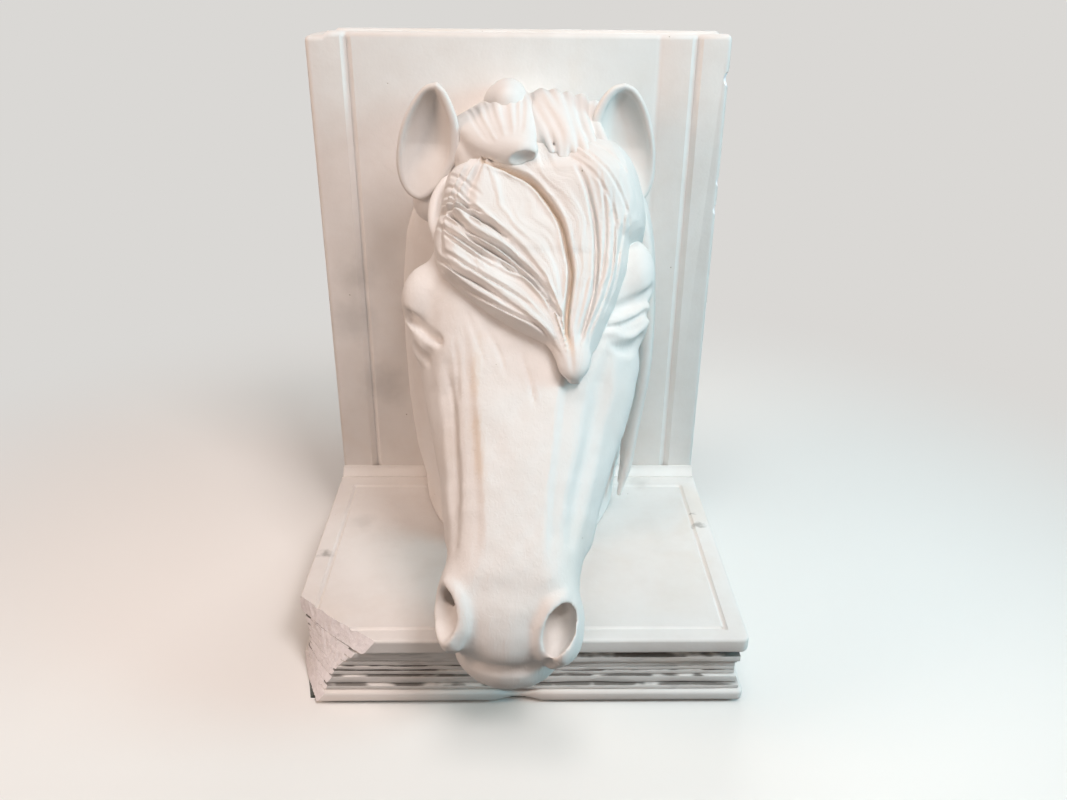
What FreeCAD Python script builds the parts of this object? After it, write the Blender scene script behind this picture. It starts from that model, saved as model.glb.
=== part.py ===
"""One book end: a horse's head on a standing book, which stands on a lying book. Millimetres.

Frame: origin at the middle of the underside, +Z up, the horse looks along -Y.
Each piece is a solid of its own in parts/.
"""

import FreeCAD, Part
import math
import os

Vector = FreeCAD.Vector

# Lying book
book_width = 137.0
book_depth = 122.0
felt_thickness = 1.0
felt_inset = 3.0
bottom_board_thickness = 3.6
lying_pages_thickness = 14.7
top_board_thickness = 5.2
lying_spine_thickness = 5.0
lying_spine_rounding = 3.0
pages_inset = 0.7
pages_hollow = 2.1
board_rounding = 1.2
panel_side_inset = 6.5
panel_front_inset = 5.5
panel_rear_inset = 10.0
panel_line_width = 0.8
panel_line_depth = 0.4

# Scalloped nick at the front of the bottom board
scallop_width = 10.0
scallop_height = 4.4
scallop_depth = 1.2

# Broken front corner on the side of negative X
chip_top_side = 21.5
chip_top_front = 27.5
chip_bottom_side = 20.5
chip_bottom_front = 6.5

# Standing book
upright_width = 136.0
upright_height = 160.0
cover_thickness = 5.0
upright_pages_thickness = 14.0
spine_width = 6.5
spine_drop = 1.3
pages_drop = 1.0
pages_edge_inset = 1.5
cover_rounding = 2.4
groove_inset = 12.5
groove_width = 3.0
groove_depth = 0.7
joint_cove = 2.5

# Nicks in the free edge of the standing book's front cover: height above the lying book, radius
nicks = [(146.7, 1.9), (113.6, 1.1), (104.1, 1.2)]

# Steel inside
rod_diameter = 6.0
rod_height = 92.0
rod_into_upright = 12.0
rod_into_head = 45.0
dowel_diameter = 6.0
dowel_into_base = 13.0
dowel_into_upper = 20.0
dowel_spacing = 90.0
neck_dowel_forward = 26.0
pin_clearance = 0.1

# Horse: the axis of the head starts at the poll, this far from the foot of the cover's face
poll_side = 3.0
poll_forward = 32.0
poll_height = 128.0
head_pitch = 49.0
head_yaw = 3.9
horse_side = 3.0

# Head sections: down the face, side shift, half width, brow side, throat side, narrowing below
head_sections = [
    (-7.0, 0.0, 15.0, -5.0, -27.0, 0.1),
    (2.0, 0.5, 24.0, 0.0, -33.0, 0.1),
    (18.0, 1.0, 31.0, 1.5, -43.0, 0.15),
    (40.0, 1.5, 36.0, 0.5, -58.0, 0.2),
    (60.0, 1.8, 33.0, 0.0, -58.0, 0.2),
    (80.0, 1.8, 27.0, 0.0, -47.0, 0.2),
    (100.0, 1.2, 22.5, 0.0, -37.0, 0.2),
    (118.0, 0.5, 19.5, 0.0, -32.0, 0.2),
    (132.0, -0.3, 19.5, -1.0, -29.0, 0.2),
    (144.0, -0.2, 16.5, -5.0, -26.0, 0.1),
    (151.0, 0.0, 11.0, -9.5, -22.0, 0.0),
]
section_squareness = 2.5
section_points = 16

# Brow bulge and nostril, in the head's own axes: down the face, out from its middle, off its plane
brow_centre = (43.0, 26.0, -13.0)
brow_radii = (15.0, 11.5, 12.0)
brow_side = 1.5
nostril_centre = (134.0, 17.0, -8.0)
nostril_radii = (8.5, 5.0, 5.5)

# Neck sections: height, half width, how far it stands out from the cover
neck_sections = [
    (0.0, 42.0, 57.0),
    (15.0, 39.5, 51.0),
    (35.0, 42.0, 46.0),
    (57.0, 45.0, 44.0),
    (93.0, 42.0, 40.0),
    (118.0, 32.0, 34.0),
    (136.0, 20.0, 24.0),
    (145.0, 10.0, 13.0),
]
neck_points = 11

# Ears: along the ear, half width, half thickness. The hollow repeats the middle stretch, set forward
ear_sections = [
    (0.0, 4.0, 4.0),
    (7.0, 7.4, 5.0),
    (18.0, 9.2, 4.6),
    (27.0, 7.6, 3.6),
    (33.0, 4.8, 2.6),
    (36.5, 1.5, 1.2),
]
ear_side = 27.0
ears_middle = 2.1
ear_forward = 36.0
ear_foot_height = 112.0
ear_lean_in = 4.0
ear_rim = 2.2
ear_back = 0.6
ear_turn = 12.0

# Forelock, in the head's axes: down the face, side shift, off the face, half width, half thickness
forelock_sections = [
    (-2.0, 2.0, -7.0, 24.0, 11.0),
    (12.0, 3.5, -5.5, 28.5, 11.5),
    (27.0, 2.5, -5.0, 30.0, 11.5),
    (41.0, 3.7, -4.0, 26.0, 10.0),
    (50.0, 6.5, -2.0, 18.5, 7.5),
    (58.0, 11.5, 0.5, 10.0, 5.5),
    (66.0, 14.5, 2.5, 5.4, 4.0),
    (72.5, 15.5, 4.0, 2.4, 2.4),
]

# Locks of hair, from the foot of the cover's face: side, forward, height, half width, half thickness
poll_lock_path = [
    (-7.0, 14.0, 141.0, 6.0, 4.5),
    (-4.5, 24.0, 143.0, 8.5, 5.5),
    (-2.0, 34.0, 139.0, 8.5, 5.0),
    (2.0, 42.0, 133.5, 5.0, 3.6),
    (5.0, 46.5, 130.0, 2.0, 1.8),
]
crest_path = [
    (9.0, 1.0, 138.0, 15.0, 6.0),
    (9.5, 12.0, 139.5, 16.0, 6.0),
    (11.0, 24.0, 137.0, 16.0, 6.0),
    (13.0, 34.0, 131.0, 14.0, 5.0),
]
side_lock_path = [
    (34.0, 24.0, 119.0, 7.0, 5.0),
    (40.5, 24.0, 98.0, 10.0, 5.0),
    (42.5, 22.0, 70.0, 11.0, 5.0),
    (41.5, 18.0, 45.0, 8.5, 4.5),
    (40.0, 14.0, 24.0, 3.0, 2.5),
]
lock_points = 12

# Places worked out from the sizes above
front_y = -book_depth / 2
rear_y = book_depth / 2
half_book = book_width / 2
half_upright = upright_width / 2
bottom_board_z = felt_thickness
lying_pages_z = bottom_board_z + bottom_board_thickness
top_board_z = lying_pages_z + lying_pages_thickness
base_top_z = top_board_z + top_board_thickness
upright_thickness = 2 * cover_thickness + upright_pages_thickness
cover_y = rear_y - upright_thickness
upright_top_z = base_top_z + upright_height
upright_pages_y = cover_y + cover_thickness
tiny = 0.01


def box(x_range, y_range, z_range):
    size = [pair[1] - pair[0] for pair in (x_range, y_range, z_range)]
    return Part.makeBox(*size, Vector(x_range[0], y_range[0], z_range[0]))


def from_cover(side, forward, height):
    """A point given from the middle of the foot of the cover's face."""
    return Vector(side, cover_y - forward, base_top_z + height)


def round_edges(shape, radius, wanted):
    edges = [edge for edge in shape.Edges if wanted(edge)]
    return shape.makeFillet(radius, edges)


def largest(shape):
    return max(shape.Solids, key=lambda solid: solid.Volume)


def without(shape, others):
    for other in others:
        shape = shape.cut(other)
    return largest(shape)


def closed_curve(points):
    curve = Part.BSplineCurve()
    curve.interpolate(Points=points, PeriodicFlag=True)
    return Part.Wire([curve.toShape()])


def power(value, exponent):
    return math.copysign(abs(value) ** exponent, value)


def loft_along(stations, across, facing=None):
    """Loft through flat ovals on a path. A station is a point, a half width and a half thickness.

    The ovals stand square to the path, or to the direction given as facing.
    """
    wires = []
    for index, (point, half_width, half_thick) in enumerate(stations):
        before = stations[max(index - 1, 0)][0]
        after = stations[min(index + 1, len(stations) - 1)][0]
        along = facing or (after - before).normalize()
        side = (across - along * across.dot(along)).normalize()
        up = side.cross(along)
        ring = []
        for step in range(lock_points):
            angle = 2 * math.pi * step / lock_points
            ring.append(point + side * half_width * math.cos(angle) + up * half_thick * math.sin(angle))
        wires.append(closed_curve(ring))
    return Part.makeLoft(wires, True)


def ellipsoid(centre, radii, axes):
    """An ellipsoid with its three radii along the three axes."""
    columns = [axis * radius for axis, radius in zip(axes, radii)]
    rows = [[column[row] for column in columns] + [centre[row]] for row in range(3)]
    matrix = FreeCAD.Matrix(*rows[0], *rows[1], *rows[2], 0, 0, 0, 1)
    return Part.makeSphere(1.0).transformGeometry(matrix)


# The head's axes: down the face, across it to +X, and off its plane
pitch = math.radians(head_pitch)
yaw = math.radians(head_yaw)
down_face = Vector(-math.cos(pitch) * math.sin(yaw), -math.cos(pitch) * math.cos(yaw), -math.sin(pitch))
across_face = Vector(math.cos(yaw), -math.sin(yaw), 0)
off_face = down_face.cross(across_face)
poll = from_cover(poll_side, poll_forward, poll_height)


def on_head(down, across, off):
    return poll + down_face * down + across_face * across + off_face * off


def chip():
    """The lost corner: a wedge that is wide at the top and narrow at the bottom."""
    over = 2.0
    low, high = felt_thickness, base_top_z
    per_height_side = (chip_top_side - chip_bottom_side) / (high - low)
    per_height_front = (chip_top_front - chip_bottom_front) / (high - low)
    wires = []
    for z in (low - over, high + over):
        side = chip_bottom_side + per_height_side * (z - low)
        front = chip_bottom_front + per_height_front * (z - low)
        # the slanted line runs on past both faces of the book
        slope = side / front
        corner = Vector(-half_book - over, front_y - over, z)
        along_front = Vector(-half_book + front + over / slope, front_y - over, z)
        along_side = Vector(-half_book - over, front_y + side + over * slope, z)
        wires.append(Part.makePolygon([corner, along_front, along_side, corner]))
    return Part.makeLoft(wires, True, True)


def scallop():
    radius = (scallop_width**2 / 4 + scallop_depth**2) / (2 * scallop_depth)
    centre = Vector(0, front_y - radius + scallop_depth, 0)
    return Part.makeCylinder(radius, bottom_board_z + scallop_height, centre)


def board(z, thickness):
    shape = box((-half_book, half_book), (front_y, rear_y), (z, z + thickness))
    return round_edges(shape, board_rounding, lambda edge: True)


def bottom_board():
    return board(bottom_board_z, bottom_board_thickness).cut(scallop()).cut(chip())


def frame_line(half_x, y_range, z, width, depth):
    """A shallow rectangular line with rounded corners, cut down from a height."""
    corner = 2.0 * width
    rings = []
    for grow in (width / 2, -width / 2):
        low = z - depth
        ring = box((-half_x - grow, half_x + grow), (y_range[0] - grow, y_range[1] + grow), (low, z + 1))
        upright = [edge for edge in ring.Edges if abs(edge.tangentAt(edge.FirstParameter).z) > 0.9]
        rings.append(ring.makeFillet(corner + grow, upright))
    return rings[0].cut(rings[1])


def top_board():
    panel_y = (front_y + panel_front_inset, cover_y - panel_rear_inset)
    line = frame_line(half_book - panel_side_inset, panel_y, base_top_z, panel_line_width, panel_line_depth)
    return board(top_board_z, top_board_thickness).cut(line).cut(chip())


def lying_pages():
    low, high = lying_pages_z, lying_pages_z + lying_pages_thickness
    half = half_book - pages_inset
    block_y = (front_y + pages_inset, rear_y - lying_spine_thickness)
    shape = box((-half, half), block_y, (low, high))
    # each open side is hollowed by a long cylinder
    radius = (lying_pages_thickness**2 / 4 + pages_hollow**2) / (2 * pages_hollow)
    middle_z = (low + high) / 2
    reach = radius - pages_hollow
    long = book_width + book_depth
    hollows = [
        Part.makeCylinder(radius, long, Vector(-long / 2, block_y[0] - reach, middle_z), Vector(1, 0, 0)),
        Part.makeCylinder(radius, long, Vector(half + reach, -long / 2, middle_z), Vector(0, 1, 0)),
        Part.makeCylinder(radius, long, Vector(-half - reach, -long / 2, middle_z), Vector(0, 1, 0)),
    ]
    return without(shape, hollows + [scallop(), chip()])


def lying_spine():
    rear = (rear_y - lying_spine_thickness, rear_y)
    half = half_book - pages_inset
    shape = box((-half, half), rear, (lying_pages_z, top_board_z))

    def outer(edge):
        return edge.BoundBox.YMin > rear_y - tiny and edge.BoundBox.XLength > tiny

    return round_edges(shape, lying_spine_rounding, outer)


def felt():
    half = half_book - felt_inset
    shape = box((-half, half), (front_y + felt_inset, rear_y - felt_inset), (0, felt_thickness))
    return shape.cut(scallop()).cut(chip())


def on_outline(edge, y):
    """Is the edge on the rim of a cover's outer face, and above its foot?"""
    bounds = edge.BoundBox
    return abs(bounds.YMin - y) < tiny and abs(bounds.YMax - y) < tiny and bounds.ZMax > base_top_z + tiny


def cover(y_range, outer_y, x_low):
    shape = box((x_low, half_upright), y_range, (base_top_z, upright_top_z))

    def rounded(edge):
        return on_outline(edge, outer_y) and edge.BoundBox.XMax > x_low + tiny

    return round_edges(shape, cover_rounding, rounded)


def groove(x):
    """A shallow round-bottomed groove over the full height of the front cover."""
    radius = (groove_width**2 / 4 + groove_depth**2) / (2 * groove_depth)
    centre = Vector(x, cover_y - radius + groove_depth, base_top_z + joint_cove)
    return Part.makeCylinder(radius, upright_height, centre)


def cove():
    """The small concave bead in the corner between the two books."""
    foot = Vector(-half_upright, cover_y, base_top_z)
    toe = foot + Vector(0, -joint_cove, 0)
    head = foot + Vector(0, 0, joint_cove)
    middle = foot + Vector(0, -joint_cove, joint_cove) * (1 - math.sqrt(0.5))
    arc = Part.Arc(toe, middle, head).toShape()
    wire = Part.Wire([Part.makeLine(foot, toe), arc, Part.makeLine(head, foot)])
    return Part.Face(wire).extrude(Vector(upright_width, 0, 0))


def front_cover():
    shape = cover((cover_y, upright_pages_y), cover_y, -half_upright + spine_width)
    for x in (-half_upright + groove_inset, half_upright - groove_inset):
        shape = shape.cut(groove(x))
    for height, radius in nicks:
        shape = shape.cut(Part.makeSphere(radius, from_cover(half_upright, 0, height)))
    return shape.cut(rod_hole())




def rear_cover():
    return cover((rear_y - cover_thickness, rear_y), rear_y, -half_upright + spine_width)


def upright_pages():
    x_range = (-half_upright + spine_width, half_upright - pages_edge_inset)
    y_range = (upright_pages_y, upright_pages_y + upright_pages_thickness)
    shape = box(x_range, y_range, (base_top_z, upright_top_z - pages_drop))
    return shape.cut(rod_hole())


def upright_spine():
    x_range = (-half_upright, -half_upright + spine_width)
    shape = box(x_range, (cover_y, rear_y), (base_top_z, upright_top_z - spine_drop))

    def outer(edge):
        bounds = edge.BoundBox
        upright = bounds.XMax < -half_upright + tiny and bounds.ZLength > tiny
        top = bounds.ZMin > upright_top_z - spine_drop - tiny and bounds.XMin < -half_upright + tiny
        return upright or top

    return round_edges(shape, cover_rounding, outer)


def rod(extra=0.0):
    start = from_cover(horse_side, rod_into_head + extra, rod_height)
    length = rod_into_head + rod_into_upright + 2 * extra
    return Part.makeCylinder(rod_diameter / 2 + extra, length, start, Vector(0, 1, 0))


def rod_hole():
    return rod(pin_clearance)


def dowels(extra=0.0):
    """Two dowels in the standing book and one in the neck."""
    middle_y = upright_pages_y + upright_pages_thickness / 2
    places = [
        (-dowel_spacing / 2, middle_y),
        (dowel_spacing / 2, middle_y),
        (horse_side, cover_y - neck_dowel_forward),
    ]
    low = base_top_z - dowel_into_base - extra
    length = dowel_into_base + dowel_into_upper + 2 * extra
    radius = dowel_diameter / 2 + extra
    return [Part.makeCylinder(radius, length, Vector(x, y, low)) for x, y in places]


def head_blank():
    wires = []
    for down, shift, half_width, top, bottom, narrowing in head_sections:
        middle = (top + bottom) / 2
        half_depth = (top - bottom) / 2
        ring = []
        for step in range(section_points):
            angle = 2 * math.pi * step / section_points
            x = power(math.cos(angle), 2 / section_squareness)
            y = power(math.sin(angle), 2 / section_squareness)
            # the section gets narrower towards the throat
            x *= 1 - narrowing * (1 - y) / 2
            ring.append(on_head(down, shift + x * half_width, middle + y * half_depth))
        wires.append(closed_curve(ring))
    return Part.makeLoft(wires, True)


def horse_head():
    shape = head_blank()
    axes = (down_face, across_face, off_face)
    for hand in (-1, 1):
        down, out, off = brow_centre
        shape = shape.fuse(ellipsoid(on_head(down, brow_side + hand * out, off), brow_radii, axes))
    for hand in (-1, 1):
        down, out, off = nostril_centre
        shape = shape.cut(ellipsoid(on_head(down, hand * out, off), nostril_radii, axes))
    return largest(shape)


def neck_blank():
    wires = []
    for height, half_width, forward in neck_sections:
        arc = []
        for step in range(neck_points):
            angle = math.pi * step / (neck_points - 1)
            arc.append(from_cover(horse_side - half_width * math.cos(angle), forward * math.sin(angle), height))
        curve = Part.BSplineCurve()
        curve.interpolate(Points=arc)
        wires.append(Part.Wire([curve.toShape(), Part.makeLine(arc[-1], arc[0])]))
    return Part.makeLoft(wires, True)


def ear(hand):
    """A cupped leaf. Its hollow faces forward and a little outward."""
    foot = from_cover(ears_middle + hand * ear_side, ear_forward, ear_foot_height)
    lean = math.radians(ear_lean_in)
    along = Vector(-hand * math.sin(lean), 0, math.cos(lean))
    turn = math.radians(ear_turn)
    across = Vector(math.cos(turn), hand * math.sin(turn), 0)
    face = Vector(hand * math.sin(turn), -math.cos(turn), 0)
    outer = [(foot + along * far, wide, thick) for far, wide, thick in ear_sections]
    cup = []
    for far, wide, thick in ear_sections[1:-1]:
        cup.append((foot + along * far + face * thick, wide - ear_rim, thick - ear_back))
    return largest(loft_along(outer, across).cut(loft_along(cup, across)))


def forelock():
    stations = [(on_head(down, shift, off), wide, thick) for down, shift, off, wide, thick in forelock_sections]
    return loft_along(stations, across_face, down_face)


def lock(path, across):
    stations = [(from_cover(side, out, height), wide, thick) for side, out, height, wide, thick in path]
    return loft_along(stations, across)


def build():
    head = horse_head()
    whole_neck = neck_blank()
    neck = without(whole_neck, [head])
    ears = [without(ear(hand), [head, neck]) for hand in (-1, 1)]
    hair = without(forelock(), [head, neck] + ears)
    poll_lock = without(lock(poll_lock_path, Vector(1, 0, 0)), [head, neck, hair] + ears)
    standing = [head, neck, hair, poll_lock] + ears
    behind_cover = box((-book_width, book_width), (cover_y, rear_y), (0, 2 * upright_top_z))
    crest = lock(crest_path, Vector(1, 0, 0)).cut(behind_cover)
    side_lock = lock(side_lock_path, Vector(0, 1, 0))
    crest = without(crest, standing)
    side_lock = without(side_lock, standing + [crest])

    pins = dowels(pin_clearance)
    pieces = {
        "felt_pad": felt(),
        "lower_book_bottom_board": bottom_board(),
        "lower_book_page_block": without(lying_pages(), pins),
        "lower_book_top_board": without(top_board(), pins),
        "lower_book_spine": lying_spine(),
        "upright_front_board": front_cover(),
        "upright_page_block": without(upright_pages(), pins),
        "upright_back_board": rear_cover(),
        "upright_spine": upright_spine(),
        "joint_bead": cove().cut(whole_neck),
        "horse_neck": without(neck, pins + [rod_hole()]),
        "horse_head": without(head, [rod_hole()]),
        "left_ear": ears[0],
        "right_ear": ears[1],
        "forelock": hair,
        "poll_lock": poll_lock,
        "mane_crest": crest,
        "mane_side_lock": side_lock,
        "neck_armature_rod": rod(),
        "base_dowels": Part.makeCompound(dowels()),
    }
    os.makedirs("parts", exist_ok=True)
    for name, shape in pieces.items():
        shape.exportStep("parts/" + name + ".step")
        print(name, len(shape.Solids), round(shape.Volume), shape.isValid())


build()
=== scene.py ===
import bpy
import math
import numpy as np
import openvdb
from mathutils import Matrix, Vector


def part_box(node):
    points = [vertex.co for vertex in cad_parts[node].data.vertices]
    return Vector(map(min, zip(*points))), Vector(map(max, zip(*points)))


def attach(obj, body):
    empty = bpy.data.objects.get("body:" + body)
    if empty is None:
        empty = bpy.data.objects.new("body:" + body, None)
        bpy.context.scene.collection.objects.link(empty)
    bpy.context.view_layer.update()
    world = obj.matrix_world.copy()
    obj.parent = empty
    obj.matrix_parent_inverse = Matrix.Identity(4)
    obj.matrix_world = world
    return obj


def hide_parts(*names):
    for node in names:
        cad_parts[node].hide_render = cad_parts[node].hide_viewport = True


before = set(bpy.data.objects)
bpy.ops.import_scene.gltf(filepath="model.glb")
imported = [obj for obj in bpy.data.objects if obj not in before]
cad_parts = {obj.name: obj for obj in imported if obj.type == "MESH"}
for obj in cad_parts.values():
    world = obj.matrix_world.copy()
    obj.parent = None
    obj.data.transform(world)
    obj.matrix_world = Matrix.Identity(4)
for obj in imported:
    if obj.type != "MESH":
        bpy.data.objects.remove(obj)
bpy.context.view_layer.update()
print("frame loaded")

mm = 0.001
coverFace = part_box("upright_front_board")[0][1] / mm  # the horse is laid out from here, in millimetres
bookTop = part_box("lower_book_top_board")[1][2] / mm

# ---- clay: a shape kept as a field of distances, below zero inside the plaster

sculpt = {"headStep": 0.64, "hairStep": 0.4, "neckStep": 0.8, "earStep": 0.4}  # grid steps in millimetres


class Clay:
    def __init__(self, low, high, step):
        self.low, self.step = low, step
        sides = [np.arange(a, b, step, dtype=np.float32) for a, b in zip(low, high)]
        self.axes = [sides[0][:, None, None], sides[1][None, :, None], sides[2][None, None, :]]
        self.field = np.full([len(side) for side in sides], 9.0, np.float32)

    def window(self, low, high):
        # the part of the grid around a small feature
        parts = []
        for axis, (a, b) in enumerate(zip(low, high)):
            count = self.field.shape[axis]
            first = int((a - self.low[axis]) / self.step)
            last = int((b - self.low[axis]) / self.step) + 2
            parts.append(slice(min(max(first, 0), count), min(max(last, 0), count)))
        sides = [self.axes[axis][tuple(parts[axis] if i == axis else slice(None) for i in range(3))]
                 for axis in range(3)]
        return tuple(parts), sides

    def join(self, parts, other, soft, cut):
        here = self.field[parts]
        if here.size == 0:
            return
        if cut:
            self.field[parts] = smoothMax(here, -other, soft)
        else:
            self.field[parts] = smoothMin(here, other, soft)

    def blob(self, centre, radii, soft=1.0, cut=False, axes=None):
        # an ellipsoid, whose three radii may lie along axes of its own
        reach = max(radii) + soft + 1
        parts, sides = self.window([c - reach for c in centre], [c + reach for c in centre])
        offset = [side - c for side, c in zip(sides, centre)]
        if axes is not None:
            offset = [sum(offset[i] * axis[i] for i in range(3)) for axis in axes]
        near = np.sqrt(sum((o / r) ** 2 for o, r in zip(offset, radii))) + 1e-6
        steep = np.sqrt(sum((o / r ** 2) ** 2 for o, r in zip(offset, radii))) + 1e-6
        self.join(parts, near * (near - 1) / steep, soft, cut)

    def strand(self, points, soft=0.6, cut=False):
        # a tapered rope through points of place and radius
        points = np.array(points, np.float32)
        reach = points[:, 3].max() + soft + 1
        parts, sides = self.window(points[:, :3].min(0) - reach, points[:, :3].max(0) + reach)
        best = None
        for a, b in zip(points[:-1], points[1:]):
            along = b[:3] - a[:3]
            length = float(along @ along) + 1e-9
            offset = [side - c for side, c in zip(sides, a[:3])]
            t = np.clip(sum(o * c for o, c in zip(offset, along)) / length, 0, 1)
            away = np.sqrt(sum((o - t * c) ** 2 for o, c in zip(offset, along)))
            away = away - (a[3] + t * (b[3] - a[3]))
            best = away if best is None else np.minimum(best, away)
        self.join(parts, best, soft, cut)

    def skinMap(self):
        # height of the skin over the first two axes, met from the high side of the third
        inside = self.field < 0
        count = inside.shape[2]
        top = np.clip(count - 1 - np.argmax(inside[:, :, ::-1], axis=2), 0, count - 2)
        i, j = np.indices(top.shape)
        a, b = self.field[i, j, top], self.field[i, j, top + 1]
        share = np.clip(a / np.where(a == b, 1, a - b), 0, 1)
        return np.where(inside.any(axis=2), self.low[2] + self.step * (top + share), np.nan)

    def over(self, line, radius, lift=0.0, skin=None):
        # a rope laid on the skin along places of the first two axes; it runs out thin at its ends
        skin = self.skinMap() if skin is None else skin
        path = smoothPath(line)
        out = []
        for index, (a, b) in enumerate(path):
            i, j = [int(np.clip(round((v - low) / self.step), 0, n - 1))
                    for v, low, n in zip((a, b), self.low, skin.shape)]
            if np.isnan(skin[i, j]):
                continue
            t = index / (len(path) - 1)
            out.append([a, b, skin[i, j] + lift, radius * min(1, 4 * t + 0.2, 4 * (1 - t) + 0.2)])
        heights = np.pad([row[2] for row in out], 5, mode="edge")
        for row, height in zip(out, np.convolve(heights, np.ones(11) / 11, mode="valid")):
            row[2] = height
        return out

    def raiseSkin(self, table, fade=14.0):
        # lifts the skin seen from the high side by a table of heights
        skin = np.nan_to_num(self.skinMap(), nan=-99)
        share = np.clip(1 - (skin[:, :, None] - self.axes[2]) / fade, 0, 1)
        self.field -= (table[:, :, None] * share).astype(np.float32)


def smoothMin(a, b, soft):
    blend = np.clip(0.5 + 0.5 * (b - a) / soft, 0, 1)
    return b + (a - b) * blend - soft * blend * (1 - blend)


def smoothMax(a, b, soft):
    return -smoothMin(-a, -b, soft)


def smoothPath(points, steps=6):
    # a curve through the points, in every column
    points = np.array(points, float)
    padded = np.vstack([2 * points[0] - points[1], points, 2 * points[-1] - points[-2]])
    out = []
    for a, b, c, d in zip(padded, padded[1:], padded[2:], padded[3:]):
        for t in np.linspace(0, 1, steps, endpoint=False):
            out.append(0.5 * (2 * b + (c - a) * t + (2 * a - 5 * b + 4 * c - d) * t ** 2
                              + (3 * b - a - 3 * c + d) * t ** 3))
    return np.array(out + [points[-1]])


def profile(rows, column, at, soft=7):
    # a smooth line through one column of a table whose first column is the place
    places = [row[0] for row in rows]
    fine = np.arange(places[0] - 20, places[-1] + 20, 0.5)
    line = np.interp(fine, places, [row[column] for row in rows])
    kernel = np.hanning(2 * soft + 1)
    line = np.convolve(np.pad(line, soft, mode="edge"), kernel / kernel.sum(), mode="valid")
    return np.interp(at, fine, line)


def softNoise(shape, cells, seed):
    # smooth random hills between -1 and 1 over a two-way table
    rough = np.random.default_rng(seed).uniform(-1, 1, [cells[0] + 2, cells[1] + 2])
    u = np.linspace(0, cells[0], shape[0])
    v = np.linspace(0, cells[1], shape[1])
    iu, iv = u.astype(int), v.astype(int)
    fu, fv = (u - iu)[:, None], (v - iv)[None, :]
    fu, fv = fu * fu * (3 - 2 * fu), fv * fv * (3 - 2 * fv)
    corner = [rough[np.ix_(iu + du, iv + dv)] for du in (0, 1) for dv in (0, 1)]
    return (corner[0] * (1 - fu) + corner[2] * fu) * (1 - fv) + (corner[1] * (1 - fu) + corner[3] * fu) * fv


def nearLine(s, x, line):
    # how far each place of a two-way table is from a line, and how far along the line
    path = smoothPath(line)
    best, along = np.full((len(s), len(x)), 99.0), np.zeros((len(s), len(x)))
    for index, (a, b) in enumerate(zip(path[:-1], path[1:])):
        run = b - a
        t = np.clip(((s[:, None] - a[0]) * run[0] + (x[None, :] - a[1]) * run[1]) / (run @ run + 1e-9), 0, 1)
        away = np.hypot(s[:, None] - a[0] - t * run[0], x[None, :] - a[1] - t * run[1])
        along = np.where(away < best, (index + t) / (len(path) - 1), along)
        best = np.minimum(best, away)
    return best, along


def crease(table, s, x, line, depth, width):
    # a groove with raised lips, shallow at its ends; a negative depth makes a ridge
    away, along = nearLine(s, x, line)
    run = np.sqrt(np.sin(math.pi * np.clip(along, 0.01, 0.99)))
    table += depth * run * (0.3 * np.exp(-((away - 2 * width) / width) ** 2) - np.exp(-(away / width) ** 2))


def clayPiece(clay, name, toFrame, marks, mirrored):
    # the skin of the clay as a mesh object; marks are tables over the first two axes, kept as attributes,
    # and a field whose axes are left-handed is mirrored, so its faces are turned round
    grid = openvdb.FloatGrid(9.0)
    grid.copyFromArray(np.clip(clay.field, -9, 9))
    points, _, quads = grid.convertToPolygons(isovalue=0.0, adaptivity=0.0)
    places = points * clay.step + np.array(clay.low)
    mesh = bpy.data.meshes.new(name)
    faces = quads[:, ::-1] if mirrored else quads
    mesh.from_pydata((toFrame(places) * mm).tolist(), [], faces.tolist())
    piece = bpy.data.objects.new(name, mesh)
    bpy.context.collection.objects.link(piece)
    for mark, table in marks.items():
        i, j = [np.clip(np.round(points[:, axis]).astype(int), 0, table.shape[axis] - 1) for axis in (0, 1)]
        data = mesh.attributes.new(mark, "FLOAT", "POINT")
        data.data.foreach_set("value", table[i, j].astype(np.float32))
    mesh.validate()
    dropCrumbs(piece)
    mesh.polygons.foreach_set("use_smooth", np.ones(len(mesh.polygons), bool))
    print(name, len(mesh.polygons), "faces")
    return piece


def dropCrumbs(piece):
    # keep the largest connected shell
    mesh = piece.data
    count = len(mesh.vertices)
    group = np.arange(count)
    ends = np.empty(len(mesh.edges) * 2, np.int32)
    mesh.edges.foreach_get("vertices", ends)
    ends = ends.reshape(-1, 2)
    while True:
        low = np.minimum(group[ends[:, 0]], group[ends[:, 1]])
        before = group.copy()
        np.minimum.at(group, ends[:, 0], low)
        np.minimum.at(group, ends[:, 1], low)
        group = group[group]
        if (group == before).all():
            break
    labels, sizes = np.unique(group, return_counts=True)
    if len(labels) == 1:
        return
    keep = group == labels[sizes.argmax()]
    mesh.polygons.foreach_set("select", np.zeros(len(mesh.polygons), bool))
    mesh.edges.foreach_set("select", ~keep[ends[:, 0]])
    mesh.vertices.foreach_set("select", ~keep)
    select(piece)
    bpy.ops.object.mode_set(mode="EDIT")
    bpy.ops.mesh.delete(type="VERT")
    bpy.ops.object.mode_set(mode="OBJECT")


def select(piece):
    bpy.ops.object.select_all(action="DESELECT")
    piece.select_set(True)
    bpy.context.view_layer.objects.active = piece


# ---- the horse's head, in axes of its own: down the face, across it, off it

headPose = {"poll": (3.0, -32.0, 128.0), "pitch": 49.0, "yaw": 3.9}
pitch, yaw = math.radians(headPose["pitch"]), math.radians(headPose["yaw"])
downFace = np.array([-math.cos(pitch) * math.sin(yaw), -math.cos(pitch) * math.cos(yaw), -math.sin(pitch)])
acrossFace = np.array([math.cos(yaw), -math.sin(yaw), 0.0])
offFace = np.cross(downFace, acrossFace)
headAxes = np.stack([downFace, acrossFace, offFace])
ground = np.array([0.0, coverFace, bookTop])


def fromHead(places):
    return places @ headAxes + np.array(headPose["poll"]) + ground


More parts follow.
